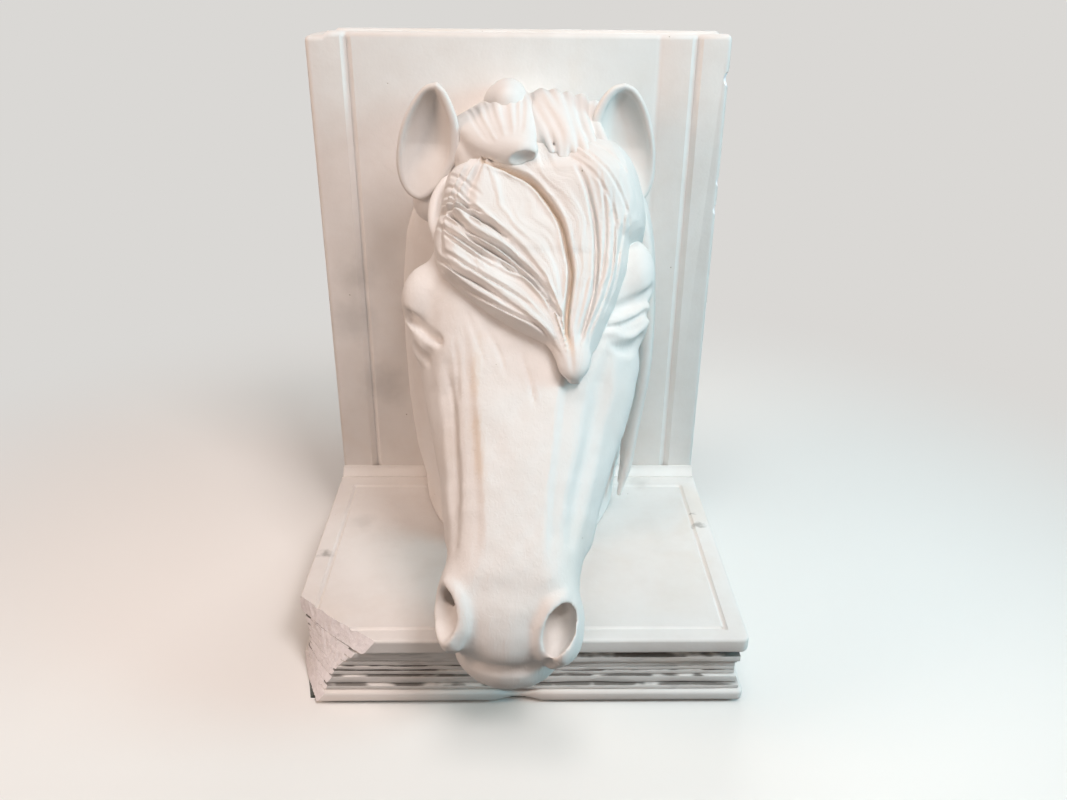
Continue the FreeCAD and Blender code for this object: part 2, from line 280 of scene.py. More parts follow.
def fromCover(places):
    return places + ground


# place down the face, middle of the head, middle of the flat of the face, half width of the flat,
# half widths at 10, 25 and 45 mm under it, height of the flat, depth of the jaw
headRows = [
    (-8, 1.0, 1.0, 10, 14, 17, 14, -5.0, -28),
    (5, 1.0, 1.0, 15, 23, 25, 20, -1.0, -36),
    (18, 1.2, 1.0, 18, 28, 29, 23, 1.0, -44),
    (30, 1.4, 0.8, 19, 30, 31, 25, 1.3, -53),
    (42, 1.6, 0.5, 18, 31, 32, 26, 1.0, -60),
    (55, 1.8, 0.2, 15, 31, 32, 27, 0.3, -62),
    (70, 2.2, -0.3, 12.2, 28.0, 29, 25, 0.0, -58),
    (85, 1.8, 0.3, 10.6, 24.6, 25, 18, 0.0, -47),
    (100, 1.6, 0.5, 9.2, 22.2, 21.5, 13, 0.0, -39),
    (112, 1.1, 1.0, 8.4, 20.2, 18.5, 11, 0.0, -34),
    (124, 0.2, 0.6, 8.8, 18.6, 17, 10, -0.4, -32),
    (133, -0.7, -0.4, 9, 17.6, 16.5, 10, -2.8, -31),
    (141, -0.7, -0.5, 9, 16.2, 15, 9, -8.2, -30),
    (149, -0.4, -0.4, 8, 12.5, 11, 7, -18.0, -27),
]


# the step at the edges of the flat down the face, the fall of its shoulders, where the head ends,
# how soft its edges are, and the height of its hollows and of its fine drawn lines
headLook = {"step": [(50, 0), (66, 1.1), (112, 1.0), (124, 0)], "crown": 0.35, "fall": 6.5, "nose": 149.0,
            "rear": -9.0, "faceSoft": 6.0, "jawSoft": 14.0, "endSoft": 9.0, "sideSoft": 6,
            "hollows": (0.22, 0.10), "line": (0.35, 0.6)}


def headShape():
    look = headLook
    clay = Clay((-16, -46, -72), (160, 48, 16), sculpt["headStep"])
    down, across, off = clay.axes
    s, x, n = down.ravel(), across.ravel(), off.ravel()
    middle, flatMiddle, flat, side10, side25, side45, top, bottom = [profile(headRows, c, s) for c in range(1, 9)]
    # how wide the head is at each depth
    wide = np.empty((len(s), len(n)))
    for row in range(len(s)):
        depths = (bottom[row], -45, -25, -10, 4)
        widths = (side45[row] - 4, side45[row], side25[row], side10[row], side10[row] - 1)
        order = np.argsort(depths)
        wide[row] = np.interp(n, np.array(depths)[order], np.array(widths)[order])
    kernel = np.hanning(2 * int(look["sideSoft"] / clay.step) + 1)
    kernel /= kernel.sum()
    pad = len(kernel) // 2
    wide = np.apply_along_axis(
        lambda line: np.convolve(np.pad(line, pad, mode="edge"), kernel, mode="valid"), 1, wide)
    # how high the face is: a flat with a small step at its edges, then shoulders
    u = np.abs(x[None, :] - flatMiddle[:, None])
    reach = side10[:, None] + (middle - flatMiddle)[:, None] * np.sign(x[None, :] - flatMiddle[:, None])
    over = np.clip((u - flat[:, None]) / (reach - flat[:, None]), 0, 2)
    step = np.clip((u - flat[:, None] + 0.8) / 2.6, 0, 1)
    step = step * step * (3 - 2 * step)
    stepDepth = np.interp(s, *zip(*look["step"]))
    high = top[:, None] - look["crown"] * (u / flat[:, None]) ** 2
    high = high - look["fall"] * over ** 2.2 - stepDepth[:, None] * step
    lean = across - middle[:, None, None].astype(np.float32)
    sides = np.abs(lean) - wide[:, None, :].astype(np.float32)
    clay.field = smoothMax(sides * 0.95, (off - high[:, :, None].astype(np.float32)) * 0.9, look["faceSoft"])
    clay.field = smoothMax(clay.field, bottom[:, None, None].astype(np.float32) - off, look["jawSoft"])
    clay.field = smoothMax(clay.field, down - look["nose"], look["endSoft"])
    clay.field = smoothMax(clay.field, look["rear"] - down, look["endSoft"]).astype(np.float32)
    for feature in (cheek, eye):
        for hand in (-1, 1):
            feature(clay, hand)
    muzzle(clay)
    # the face isn't flat: soft hollows, and fine lines drawn into it
    broad, small = look["hollows"]
    relief = broad * softNoise((len(s), len(x)), (22, 12), 31) + small * softNoise((len(s), len(x)), (60, 34), 32)
    for line in faceLines:
        crease(relief, s, x, line, *look["line"])
    clay.raiseSkin(relief)
    streak, _ = nearLine(s, x, [(58, -11.5), (68, -12.4), (80, -11.4), (92, -10.0), (104, -8.0)])
    wander = 0.55 + 0.45 * softNoise((len(s), len(x)), (30, 10), 7)
    return clay, {"stain": 0.5 * np.exp(-(streak / 1.3) ** 2) * wander}


# fine drawn lines of the face: down it, across it
faceLines = [
    [(58, -19), (66, -17.5), (76, -16.6)],
    [(50, -16), (58, -12.5), (66, -9.5)],
    [(55, -10), (62, -6), (70, -3)],
    [(62, 0), (70, 3), (78, 5)],
    [(66, -21), (78, -18), (92, -16.5), (104, -15)],
]


def cheek(clay, hand):
    clay.blob((60, hand * 21 + 1.8, -34), (27, 9.5, 27), 6)  # round jaw plate
    clay.strand([(60, hand * 27 + 2, -17, 4.8), (78, hand * 23.6 + 2.0, -17, 4.0), (98, hand * 19.0 + 1.6, -17, 3.4),
                 (112, hand * 17.4 + 1.2, -16, 2.4)], 5)  # cheek bone
    valley = {-1: [(66, -21.0), (76, -20.2), (88, -19.0), (100, -17.6), (116, -16.2)],
              1: [(62, 25.5), (74, 23.6), (90, 21.0), (100, 18.8), (114, 16.6)]}
    clay.strand(clay.over(valley[hand], 2.6, 1.5), 3.2, cut=True)
    clay.blob((22, hand * 29 + 1, 0), (12, 6, 5), 5, cut=True)  # temple


# the eye's lines, laid on the skin: down the face, across it
eyeLines = {
    1: {"brow": [(34.0, 31.5, -11.0), (11.5, 7.2, 9.0)],
        "ball": [(48.5, 30.5, -12.5), (7.0, 6.2, 6.2)],
        "crease": [(34.5, 40.5), (38.5, 38.3), (42.5, 34.6), (45.4, 30.4), (47.4, 26.6), (48.6, 23.5)],
        "upperLid": [(39.0, 40.0), (43.5, 36.6), (47.5, 32.2), (50.2, 28.2), (52.0, 24.5)],
        "slit": [(41.5, 39.8), (45.5, 36.4), (49.2, 32.4), (51.9, 28.6), (53.4, 24.8), (54.0, 22.5)],
        "lowerLid": [(45.5, 38.6), (49.5, 35.6), (53.0, 32.8), (54.8, 29.4), (54.6, 26.2), (55.6, 23.4)],
        "bag": [(50.5, 37.0), (55.5, 33.8), (58.2, 30.0), (58.4, 26.0)], "lid": 1.3, "deep": 1.3},
    -1: {"brow": [(43.0, -30.0, -11.5), (10.5, 6.6, 8.5)],
         "ball": [(56.0, -27.6, -12.5), (6.0, 5.4, 5.6)],
         "crease": [(47.0, -36.5), (50.0, -33.9), (53.6, -30.6), (56.6, -27.2), (58.4, -24.6), (59.4, -22.5)],
         "upperLid": [(50.5, -34.8), (53.4, -31.8), (56.6, -28.6), (59.0, -25.4), (60.2, -23.2)],
         "bag": [(57.0, -33.4), (60.6, -30.2), (63.4, -26.8)], "lid": 0.9, "deep": 2.4},
}


def eye(clay, hand):
    lines = eyeLines[hand]
    clay.blob(*lines["brow"], 5)
    clay.blob(*lines["ball"], 3)
    skin = clay.skinMap()
    clay.strand(clay.over(lines["crease"], lines["deep"], 0.45, skin), 1.4, cut=True)
    clay.strand(clay.over(lines["upperLid"], lines["lid"], -0.7, skin), 1.4)
    if "slit" in lines:
        clay.strand(clay.over(lines["slit"], 0.75, 0.3, skin), 0.6, cut=True)
        clay.strand(clay.over(lines["lowerLid"], lines["lid"] * 0.6, -0.2, skin), 1.2)
    clay.strand(clay.over(lines["bag"], 1.5, 0.7, skin), 1.8, cut=True)


# each nostril: the flare round it, the hollow with its radii, the rope of its wing, and its inner rim
nostrils = {
    1: {"flare": (134.5, 14.0, -9.5), "hollow": (136.4, 13.6, -6.6), "radii": (7.6, 4.2, 7.6), "lean": -0.20,
        "wing": [(127.5, 16.3, -9.0, 1.2), (132, 17.9, -10.5, 1.9), (138, 18.0, -11.5, 2.0), (143.0, 16.0, -13, 2.0),
                 (145.5, 11.5, -14.5, 1.8), (144.5, 8.0, -14.5, 1.5)],
        "rim": [(128.0, 15.0), (131.5, 11.4), (136.5, 9.0), (142.0, 8.6), (146.0, 9.8)]},
    -1: {"flare": (132.5, -15.2, -9.5), "hollow": (134.2, -18.8, -4.6), "radii": (7.6, 5.8, 5.6), "lean": 0.10,
         "wing": [(139.5, -12.6, -11.0, 1.6), (142.0, -14.4, -13.0, 2.0), (142.0, -16.6, -15.0, 1.8)],
         "rim": [(125.5, -17.0), (127.8, -13.8), (132.0, -12.0), (137.5, -11.6), (142.5, -13.0)]},
}


def muzzle(clay):
    clay.blob((134, -0.6, -12.0), (12.5, 12.5, 8.0), 5)  # upper lip
    clay.blob((140.8, -0.6, -25.0), (12.4, 15.6, 11.5), 3)  # lower lip and chin
    for hand in (-1, 1):
        place = nostrils[hand]
        clay.blob(place["flare"], (11.5, 5.2, 7.5), 4)
        clay.strand(smoothPath(place["wing"]), 2.2)
        clay.strand(clay.over(place["rim"], 1.2 + 0.3 * hand, -0.6), 2.2)
        lean = place["lean"]
        clay.blob(place["hollow"], place["radii"], 0.9, cut=True,
                  axes=((0.98, lean, 0.0), (-lean, 0.98, 0.0), (0.0, 0.0, 1.0)))
        clay.blob((place["hollow"][0] - 5.4, place["hollow"][1] - 3.4 * min(hand, 0), -9.5), (2.6, 2.6, 6.0), 0.9,
                  cut=True)
    clay.strand([(128.5, -14.6, -8.5, 1.0), (133, -13.8, -10.5, 1.2), (138, -13.8, -12.0, 1.1),
                 (142, -14.6, -13.0, 0.7)], 0.7,
                cut=True)  # the left nostril is folded in beside its rim
    mouth = [(142.0, -15.6), (145.0, -12.5), (147.2, -8), (147.6, -2), (147.6, 4), (146.8, 9.0), (144.8, 13.0)]
    clay.strand(clay.over(mouth, 1.7, 0.2), 1.8, cut=True)
    for s, x, radius in pits:
        clay.strand([(*point[:3], radius) for point in clay.over([(s, x), (s + 0.4, x + 0.3)], radius, 0.2)], 0.3,
                    cut=True)


# small air holes of the casting: down the face, across it, radius
pits = [(136.8, 5.9, 0.45), (103.5, 1.6, 0.4), (118.0, 4.6, 0.35), (92.0, 6.5, 0.3), (82.0, 1.0, 0.3)]


# ---- forelock: a relief over the face, whose hair runs from the poll to one tip

# lines of the hair: how far across the face each is at places down the face
hairLines = {
    "left": [(-8, -12), (0, -13), (4.2, -14.5), (5.4, -20), (7, -23), (9.4, -24.7), (15, -25.4), (19, -25.8),
             (26, -27.2), (31, -27), (35, -26),
             (40, -23.5), (45, -18), (52, -8.5), (56, -1.5), (60, 7), (67, 11.0), (72, 14)],
    "low": [(-8, -12), (8, -18), (18, -22.8), (28, -24), (34.5, -23.5), (40, -19), (44.5, -12), (51, -2), (57, 6),
            (64, 11.5),
            (72, 14.5)],
    "deep": [(-8, -10), (8, -15), (18, -20.5), (23, -21), (27.5, -18), (31.5, -14), (37.5, -4.5), (42.5, 2), (48, 7),
             (54, 10),
             (62, 12.8), (72, 15)],
    "second": [(-8, -8), (8, -12.5), (16, -16.5), (21.5, -17), (24, -14), (28, -8), (34, -1), (42, 6), (50, 10),
               (58, 12.2),
               (72, 15.2)],
    "parting": [(-8, -10), (4, -11), (7.5, -10.5), (10.5, -5), (14, 1.5), (19.5, 6.5), (26, 10.4), (33, 12.3),
                (40, 13.7),
                (46, 13.6), (52, 13), (58, 13.1), (63, 14.4), (72, 15.7)],
    "right": [(-8, 4), (0, 8), (8, 14), (15.5, 17.3), (25.5, 19.9), (35.5, 20.7), (45, 20.3), (54, 18.3),
              (62.5, 16.6),
              (72, 16.3)],
    "edge": [(-8, 22), (-3, 27), (1, 31), (5, 33), (11, 34.6), (17, 35.6), (22, 35.0), (25, 32.6), (27, 30.6),
             (36, 29.8), (47, 26.5),
             (54, 23.8), (63, 20.6), (68, 19.0), (72, 17.5)],
}

# grooves and rolls of the hair: depth, width, then places down and across the face
hairGrooves = [
    (1.5, 0.75, [(6.0, -13.0), (7.7, -12), (10.6, -5), (13.8, 1.4), (19.6, 6.5), (26, 10.4), (33, 12.3), (39.4, 13.7),
                 (45.7, 13.6), (52, 13), (58, 13), (63, 14.4), (68, 15.2)]),  # parting
    (1.9, 0.65, [(19.5, -26), (21.0, -23.6), (21.6, -18.7), (24, -14.5), (26.5, -10), (31, -4)]),
    (1.3, 0.5, [(18.5, -25), (19.4, -20.5), (21.5, -15.5), (25, -10.5)]),
    (0.8, 0.5, [(15.5, -26), (17.0, -22), (20.0, -18), (24.5, -13.6), (29, -9)]),
    (0.6, 0.5, [(12.5, -26), (14.5, -21.5), (18.5, -17.5), (23, -13)]),
    (0.4, 0.5, [(9.5, -25), (11.5, -20.5), (15, -16), (18.5, -12.5)]),
    (2.2, 0.85, [(21, -26), (23.6, -20.5), (29, -15), (36, -3.6), (45, 5.8), (52, 9.5)]),
    (1.6, 0.6, [(23, -24.5), (27.6, -18.6), (31.4, -14.6), (37.4, -4.4), (42.6, 2), (47, 6)]),
    (1.2, 0.5, [(24.5, -26), (29, -21), (33, -15.5), (38, -8)]),
    (1.3, 0.6, [(38, -6.5), (40, -3.4), (43, 2.6), (50.6, 8.8), (54.6, 12)]),
    (1.3, 0.6, [(31, -26.5), (34.6, -25), (40, -19.5), (44.3, -12), (48, -6)]),
    (0.9, 0.5, [(34, -23), (37.5, -18.5), (42, -11), (47, -2.5), (51, 3)]),
    (1.1, 0.5, [(35, -26), (38, -23.6), (44, -17.6), (49.6, -8.8), (53.7, -1), (55.8, 4), (59, 8)]),
    (0.7, 0.4, [(27.5, -24), (31.5, -20.5), (35.5, -15), (40, -8)]),
    (1.1, 0.7, [(10, 14.5), (15.6, 17.3), (25.6, 19.9), (35.5, 20.7), (45, 20.3), (54, 18.3), (62.6, 15.8)]),
    (0.7, 0.5, [(16, 24.5), (26, 25.5), (38, 25.2), (48, 22.8), (58, 19)]),
    (0.6, 0.5, [(20, 28.5), (30, 27.5), (42, 25.8), (52, 22.4)]),
    (0.6, 0.5, [(12, 21), (22, 22.8), (34, 23), (46, 21.4), (56, 18.2)]),
    (0.35, 0.5, [(0, 12), (7, 19), (15, 26), (24, 30), (34, 28.6)]),
    (0.3, 0.45, [(3, 9), (12, 19), (22, 25.4), (34, 26.8), (46, 24.4)]),
    (0.3, 0.45, [(0, 17), (5, 24), (12, 30), (20, 33)]),
]


# thickness of the hair down the face, where its underside lies, how round its edges are, how far a lock stands
# over or beside the next, the cushion before the right ear, waves of fine hair with their heights,
# how deep and wide the grooves are cut, the free tip, and the lock rolled beside the left ear
hairLook = {"thick": [(-12, 4.0), (0, 5.5), (10, 6.8), (20, 5.8), (45, 5.0), (58, 5.4), (70, 5.6)],
            "underside": [(-12, -6), (50, -4), (57, -2.0), (62, 1.2), (72, 2.2)], "rounding": 5.5,
            "over": 1.7, "beside": 1.1, "cushion": 3.4, "cushionDown": (11, 11), "cushionAcross": (23, 13),
            "fine": [(2.7, 0.20), (5.3, 0.13)], "groove": (1.45, 0.85), "tip": (64.6, 15.2), "tipRadii": (6.4, 4.8, 3.3),
            "tipCut": [(58, 13, 8.0, 0.8), (64, 14.2, 8.2, 0.8), (70, 15, 7.0, 0.5)],
            "rolled": [(6, -24.0, -4.4, 1.8), (11.8, -27.0, -4.4, 1.9), (16.7, -27.9, -4.4, 1.9),
                       (21.6, -27.6, -4.6, 1.8),
                       (26, -26.4, -4.6, 1.4)]}


def forelockShape(head):
    look = hairLook
    clay = Clay((-12, -34, -20), (76, 42, 15), sculpt["hairStep"])
    down, across, off = clay.axes
    s, x = down.ravel(), across.ravel()
    grid = np.broadcast_to(across[:, :, 0], (len(s), len(x)))
    lines = np.sort(np.stack([profile(row, 1, s, 3) for row in hairLines.values()], 1), axis=1)
    # the face under the hair
    skin = np.nan_to_num(head.skinMap(), nan=-20)
    rows = np.clip((s - head.low[0]) / head.step, 0, skin.shape[0] - 1.01)
    columns = np.clip((x - head.low[1]) / head.step, 0, skin.shape[1] - 1.01)
    i, j = rows.astype(int), columns.astype(int)
    fi, fj = (rows - i)[:, None], (columns - j)[None, :]
    face = ((skin[np.ix_(i, j)] * (1 - fj) + skin[np.ix_(i, j + 1)] * fj) * (1 - fi)
            + (skin[np.ix_(i + 1, j)] * (1 - fj) + skin[np.ix_(i + 1, j + 1)] * fj) * fi)
    ledge = 1.5 - 0.018 * np.clip(np.abs(grid - 2) - 12, 0, 99) ** 2  # the hair stands out level past the poll
    under = np.maximum(face, ledge - 9)
    face = np.where((s < 34)[:, None], np.maximum(face, ledge), face)
    for _ in range(8):
        face = (face + np.roll(face, 1, 0) + np.roll(face, -1, 0) + np.roll(face, 1, 1) + np.roll(face, -1, 1)) / 5
    # which lock a point is in, and how far across that lock
    lock = np.stack([np.interp(x, line + np.arange(len(line)) * 1e-3, np.arange(len(line))) for line in lines])
    share = lock - np.floor(lock)
    edge = np.minimum(grid - lines[:, :1], lines[:, -1:] - grid)
    edge = np.minimum(edge, np.minimum(72.0 - s, 0.8 * (s + 4.5))[:, None])
    near = np.clip(edge / look["rounding"], 0, 1)
    pillow = np.sqrt(near * (2 - near))
    thick = np.interp(s, *zip(*look["thick"]))[:, None] * pillow
    thick = thick * np.where(grid < -2, np.clip(0.3 + 0.7 * s / 9, 0.3, 1)[:, None], 1)
    (down0, downReach), (across0, acrossReach) = look["cushionDown"], look["cushionAcross"]
    cushion = np.exp(-(((s - down0) / downReach) ** 2)[:, None] - ((x - across0) / acrossReach) ** 2)
    thick = thick + look["cushion"] * cushion * pillow
    # on the left each lock lies over the one below it; on the right they lie side by side
    rise = np.clip(share / 0.14, 0, 1)
    over = look["over"] * rise * rise * (3 - 2 * rise) * (1 - share) ** 0.8
    beside = look["beside"] * (1 - np.abs(2 * share - 1) ** 2.2)
    locks = np.where(lock < 4, over, beside) * np.clip(edge / 3, 0, 1)
    # fine hair: waves across the flow, broken up along it
    wander = softNoise(grid.shape, (7, 9), 4) * 0.12 + softNoise(grid.shape, (14, 16), 5) * 0.05
    pitchAcross = 1 / np.maximum(np.abs(np.gradient(lock, x, axis=1)), 0.02)  # how wide each lock is here
    fine = 0
    for waves, deep in look["fine"]:
        fine = fine + deep * np.sin((lock + wander * waves / 3) * 2 * math.pi * waves) * np.clip(pitchAcross / waves - 0.6, 0, 1)
    fine = fine * (0.35 + 0.65 * np.clip(softNoise(grid.shape, (6, 14), 9) + 0.3, 0, 1)) * np.clip(edge / 2, 0, 1)
    relief = np.zeros(grid.shape)
    for depth, width, line in hairGrooves:
        crease(relief, s, x, line, look["groove"][0] * depth, look["groove"][1] * width)
    high = face + thick + locks + fine + relief * np.clip(edge / 1.5 + 0.4, 0, 1)
    lift = np.interp(s, *zip(*look["underside"]))[:, None]
    clay.field = smoothMax((off - high[:, :, None]) * 0.8, (np.minimum(face, under) + lift)[:, :, None] - off, 1.0)
    clay.field = smoothMax(clay.field, np.broadcast_to(-edge[:, :, None] * 0.8, clay.field.shape), 1.2)
    clay.field = smoothMax(clay.field, -10.0 - down, 1.0).astype(np.float32)
    skinAtTip = face[np.abs(s - 64).argmin(), np.abs(x - 15).argmin()]
    clay.blob((*look["tip"], skinAtTip + 4.2), look["tipRadii"], 1.5)
    clay.strand([(a, b, skinAtTip + rise, radius) for a, b, rise, radius in look["tipCut"]], 0.8, cut=True)
    clay.strand(smoothPath(look["rolled"]), 1.2)
    parting, _ = nearLine(s, x, hairGrooves[0][2])
    marks = {"stain": 0.6 * np.exp(-(parting / 0.8) ** 2) * np.clip((66 - s)[:, None] / 4, 0, 1),
             "hairAcross": lock * 6.0 + wander * 8.0, "hairAlong": np.broadcast_to(s[:, None], grid.shape),
             "hairDepth": np.clip(pitchAcross / 4 - 0.3, 0, 1)}
    return clay, marks


# ---- neck: a half round column on the book's cover

# height, left side, right side, how far it stands out
neckRows = [
    (0, -35.0, 36.5, 58),
    (8, -35.5, 37.5, 53),
    (20, -38.4, 39.5, 49),
    (38, -40.2, 41.5, 46),
    (58, -40.8, 43.5, 44),
    (80, -40.4, 43.5, 41),
    (97, -38.4, 41.5, 38),
    (112, -33.5, 36, 35),
    (126, -25, 28, 30),
    (137, -13, 15, 20),
    (143, -6, 7, 9),
]


# the hollow's softness, and the height of the top
neckLook = {"soft": 3.5, "top": 142.5}


def neckShape():
    clay = Clay((-50, -66, -1), (58, 2, 152), sculpt["neckStep"])
    across, out, up = clay.axes
    z = up.ravel()
    left, right, deep = [profile(neckRows, c, z, 5)[None, None, :].astype(np.float32) for c in (1, 2, 3)]
    wide = (right - left) / 2
    around = np.sqrt(((across - (left + right) / 2) / wide) ** 2 + (np.minimum(out, 0) / deep) ** 2)
    clay.field = ((around - 1) * np.minimum(wide, deep) * 0.9).astype(np.float32)
    clay.field = smoothMax(clay.field, out - 0.4, 0.5)
    clay.field = smoothMax(clay.field, up - neckLook["top"], 4.0)
    clay.field = smoothMax(clay.field, 0.2 - up, 0.5).astype(np.float32)
    for line, radius in neckMuscles:
        clay.strand(smoothPath([(*point, radius) for point in line]), neckLook["soft"], cut=True)
    return clay


# long hollows between the muscles of the neck, and the radius of each
neckMuscles = [
    ([(-38, -14, 108), (-41, -20, 80), (-41, -22, 50), (-37, -26, 16)], 1.6),
    ([(-29, -33, 96), (-34, -33, 70), (-32, -36, 40), (-28, -42, 12)], 1.4),
    ([(38, -30, 70), (37, -32, 45), (33, -38, 16)], 1.4),
]


# ---- locks of hair: ropes side by side

# the small lock on the poll: ropes spread from the first to the last, the finger of its free end with the scoop
# in it, and where its grooves run; blobs are centre, radii and softness, ropes are place and radius
pollLook = {"blobs": [((-21.0, -25, 118.5), (6.0, 7, 7.0), 3.0), ((-6.0, -22, 132.5), (11.5, 14, 9.0), 1.0),
                      ((-13.0, -28, 127), (7.5, 9, 8.5), 3.0), ((-3.0, -30, 128), (11, 10, 7.0), 3.0)],
            "first": [(-18.5, -16, 132, 2.6), (-18, -23, 134.5, 2.8), (-16, -30, 134.5, 2.8), (-11, -37, 131.5, 2.6),
                      (-5.0, -42, 129.6, 2.2), (-1.0, -44.4, 128.8, 1.5)],
            "last": [(1.0, -8, 140, 2.4), (1.5, -16, 141.4, 2.6), (2.0, -24, 140.6, 2.6), (2.4, -32, 137.4, 2.4),
                     (2.8, -39, 134.0, 2.0), (3.2, -43.0, 132.0, 1.3)],
            "ropes": 12, "arch": 1.4,
            "finger": [(-12, -35, 131.0, 2.6), (-6, -39.6, 131.4, 3.3), (-0.5, -42.8, 131.2, 3.3),
                       (2.6, -44.2, 130.8, 2.4)],
            "scoop": ((0.6, -47.0, 128.6), (4.8, 2.6, 2.7)),
            "scoopAxes": ((0.93, 0.1, 0.35), (0, 0.9, -0.43), (-0.35, 0.43, 0.83)),
            "grooves": (-16.4, -14.6, -11.6, -9.8, -6.2, -4.9, -1.7, 0.6)}


def pollLockShape():
    look = pollLook
    clay = Clay((-30, -56, 104), (20, 4, 156), sculpt["hairStep"])
    for blob in look["blobs"]:
        clay.blob(*blob)
    first, last = smoothPath(look["first"], 4), smoothPath(look["last"], 4)
    for share in np.linspace(0, 1, look["ropes"]):
        rope = first + (last - first) * share
        rope[:, 2] += look["arch"] * math.sin(math.pi * np.clip((rope[0, 0] + 18.5) / 20.5, 0, 1))
        clay.strand(rope, 1.8)
    clay.strand(smoothPath(look["finger"]), 2.2)
    clay.blob(*look["scoop"], 0.5, cut=True, axes=look["scoopAxes"])
    skin = clay.skinMap()
    for place in look["grooves"]:
        line = [(place, -21), (0.94 * place + 0.6, -27), (0.84 * place + 0.6, -33), (0.66 * place + 0.4, -39),
                (0.5 * place, -43)]
        clay.strand(clay.over(line, 0.55, 0.25, skin), 0.9, cut=True)
    return clay


def crestShape():
    clay = Clay((-16, -56, 112), (40, 2, 156), sculpt["hairStep"])
    clay.strand(smoothPath([(-3.4, 0, 139, 5.5), (-3.4, -10, 141.5, 5.8), (-3.4, -19, 142.4, 5.6),
                            (-3.4, -24, 142.2, 4.8)]), 1.0)
    clay.blob((-4.2, -20.5, 141.2), (6.6, 5.5, 5.4), 2.0)
    clay.blob((8, -23, 132.4), (15, 16, 8.0), 2.0)
    clay.blob((5.0, -18, 137.0), (6.0, 13, 5.0), 2.0)
    for line in crestStrands:
        clay.strand(smoothPath([(*point[:2], point[2] + 1.0, 0.9 * point[3]) for point in line]), 1.2)
    return clay


# ropes of mane that fall beside the poll: place and radius
crestStrands = [
    [(2.6, -20, 140.2, 1.6), (3.6, -27, 139.4, 1.7), (5.4, -33, 136.6, 1.6), (7.6, -38, 133.4, 1.4),
     (9.4, -42, 129.6, 1.0)],
    [(4.6, -14, 141.2, 1.7), (5.4, -22, 141.8, 1.9), (6.8, -29, 139.4, 1.8), (9.2, -35, 136.2, 1.6),
     (11.4, -40, 132.4, 1.4),
     (11.8, -43, 128.4, 0.9)],
    [(6.0, -6, 140.0, 2.0), (6.8, -16, 142.4, 2.0), (7.6, -23, 142.2, 2.0), (9.4, -29, 140.2, 1.9),
     (12.0, -35, 137.0, 1.7),
     (13.6, -40, 133.0, 1.5), (13.4, -42.8, 128.4, 1.0), (13.2, -44.4, 123.6, 0.5)],
    [(9.8, -6, 139.4, 2.2), (10.6, -16, 142.0, 2.3), (11.2, -23, 142.0, 2.3), (12.4, -30, 139.4, 2.1),
     (13.8, -36, 136.2, 1.7),
     (15.0, -40, 133.0, 1.5), (16.4, -43.0, 128.2, 1.0), (17.2, -45.4, 123.0, 0.5)],
    [(14.8, -6, 138.6, 2.2), (14.8, -16, 141.2, 2.3), (15.0, -23, 141.2, 2.2), (15.2, -30, 138.6, 2.0),
     (16.4, -36, 135.2, 1.7),
     (18.0, -40, 132.4, 1.6), (20.0, -44.4, 127.8, 1.3), (22.0, -48, 122.4, 0.7)],
    [(19.4, -6, 137.6, 2.4), (19.2, -15, 140.4, 2.5), (18.8, -22, 140.4, 2.4), (18.6, -29, 137.6, 2.3),
     (19.8, -35, 134.4, 2.0),
     (21.4, -39.6, 131.0, 1.7), (24.0, -44, 126.0, 1.3), (26.4, -47, 120.4, 0.7)],
    [(24.0, -8, 136.2, 2.4), (23.4, -15, 138.4, 2.5), (22.2, -22, 138.0, 2.5), (22.4, -29, 135.6, 2.3),
     (24.0, -35, 132.4, 2.0),
     (26.4, -40, 128.2, 1.6), (29.0, -43.6, 122.6, 1.2), (30.6, -45.6, 117.6, 0.7)],
]


# the lock behind the cheek: place, half width and half thickness down its length
sideLook = {"path": [(33, -22, 122, 6, 3.2), (39, -24, 104, 9, 3.4), (41.4, -25, 80, 11, 3.2),
                     (41.6, -25, 58, 10, 3.0),
                     (39.8, -25, 38, 8, 2.6), (38.0, -27, 20, 5, 2.2), (35.5, -30, 7, 2, 1.5)],
            "across": (0.0, 1.0, 0.0), "ropes": 9, "soft": 0.6, "sway": 0.8, "seed": 8}


def sideLockShape():
    look = sideLook
    clay = Clay((24, -48, 2), (54, 0, 132), sculpt["hairStep"] * 1.2)
    rows = smoothPath(look["path"], 5)
    across = np.array(look["across"])
    dice = np.random.default_rng(look["seed"])
    for index in range(look["ropes"]):
        side = 2 * (index + 0.5) / look["ropes"] - 1
        phase = dice.uniform(0, 6.3)
        reach = dice.uniform(0.86, 1.0)
        points = []
        for step, row in enumerate(rows):
            t = step / (len(rows) - 1)
            if t > reach and len(points) > 2:
                break
            place = row[:3] + across * (side * row[3] * 0.85 + look["sway"] * math.sin(5 * t + phase))
            thick = row[4] * (1 - 0.45 * side ** 2)
            points.append((*place, max(thick * (1 if t < reach - 0.1 else 0.7), 0.4)))
        clay.strand(points, look["soft"])
    return clay


# ---- ears: cupped leaves

# outline of each ear seen from the front: across, up
earOutlines = {
    -1: [(-23.9, 147.9), (-21.2, 145.0), (-18.8, 139.6), (-17.9, 134.4), (-18.4, 128.3), (-21.1, 122.6),
         (-25.4, 117.2),
         (-30.0, 114.0), (-34.2, 115.8), (-36.5, 120.4), (-36.9, 125.7), (-36.0, 131.9), (-34.1, 137.5), (-31.2, 142.5),
         (-27.7, 146.5)],
    1: [(31.0, 147.7), (34.2, 146.2), (37.0, 142.5), (39.3, 137.3), (41.0, 130.5), (41.6, 124.3), (41.0, 117.6),
        (37.6, 112.5),
        (32.2, 113.0), (26.5, 117.6), (22.6, 124.3), (21.3, 130.5), (21.9, 137.8), (24.0, 143.1), (27.3, 146.7)],
}
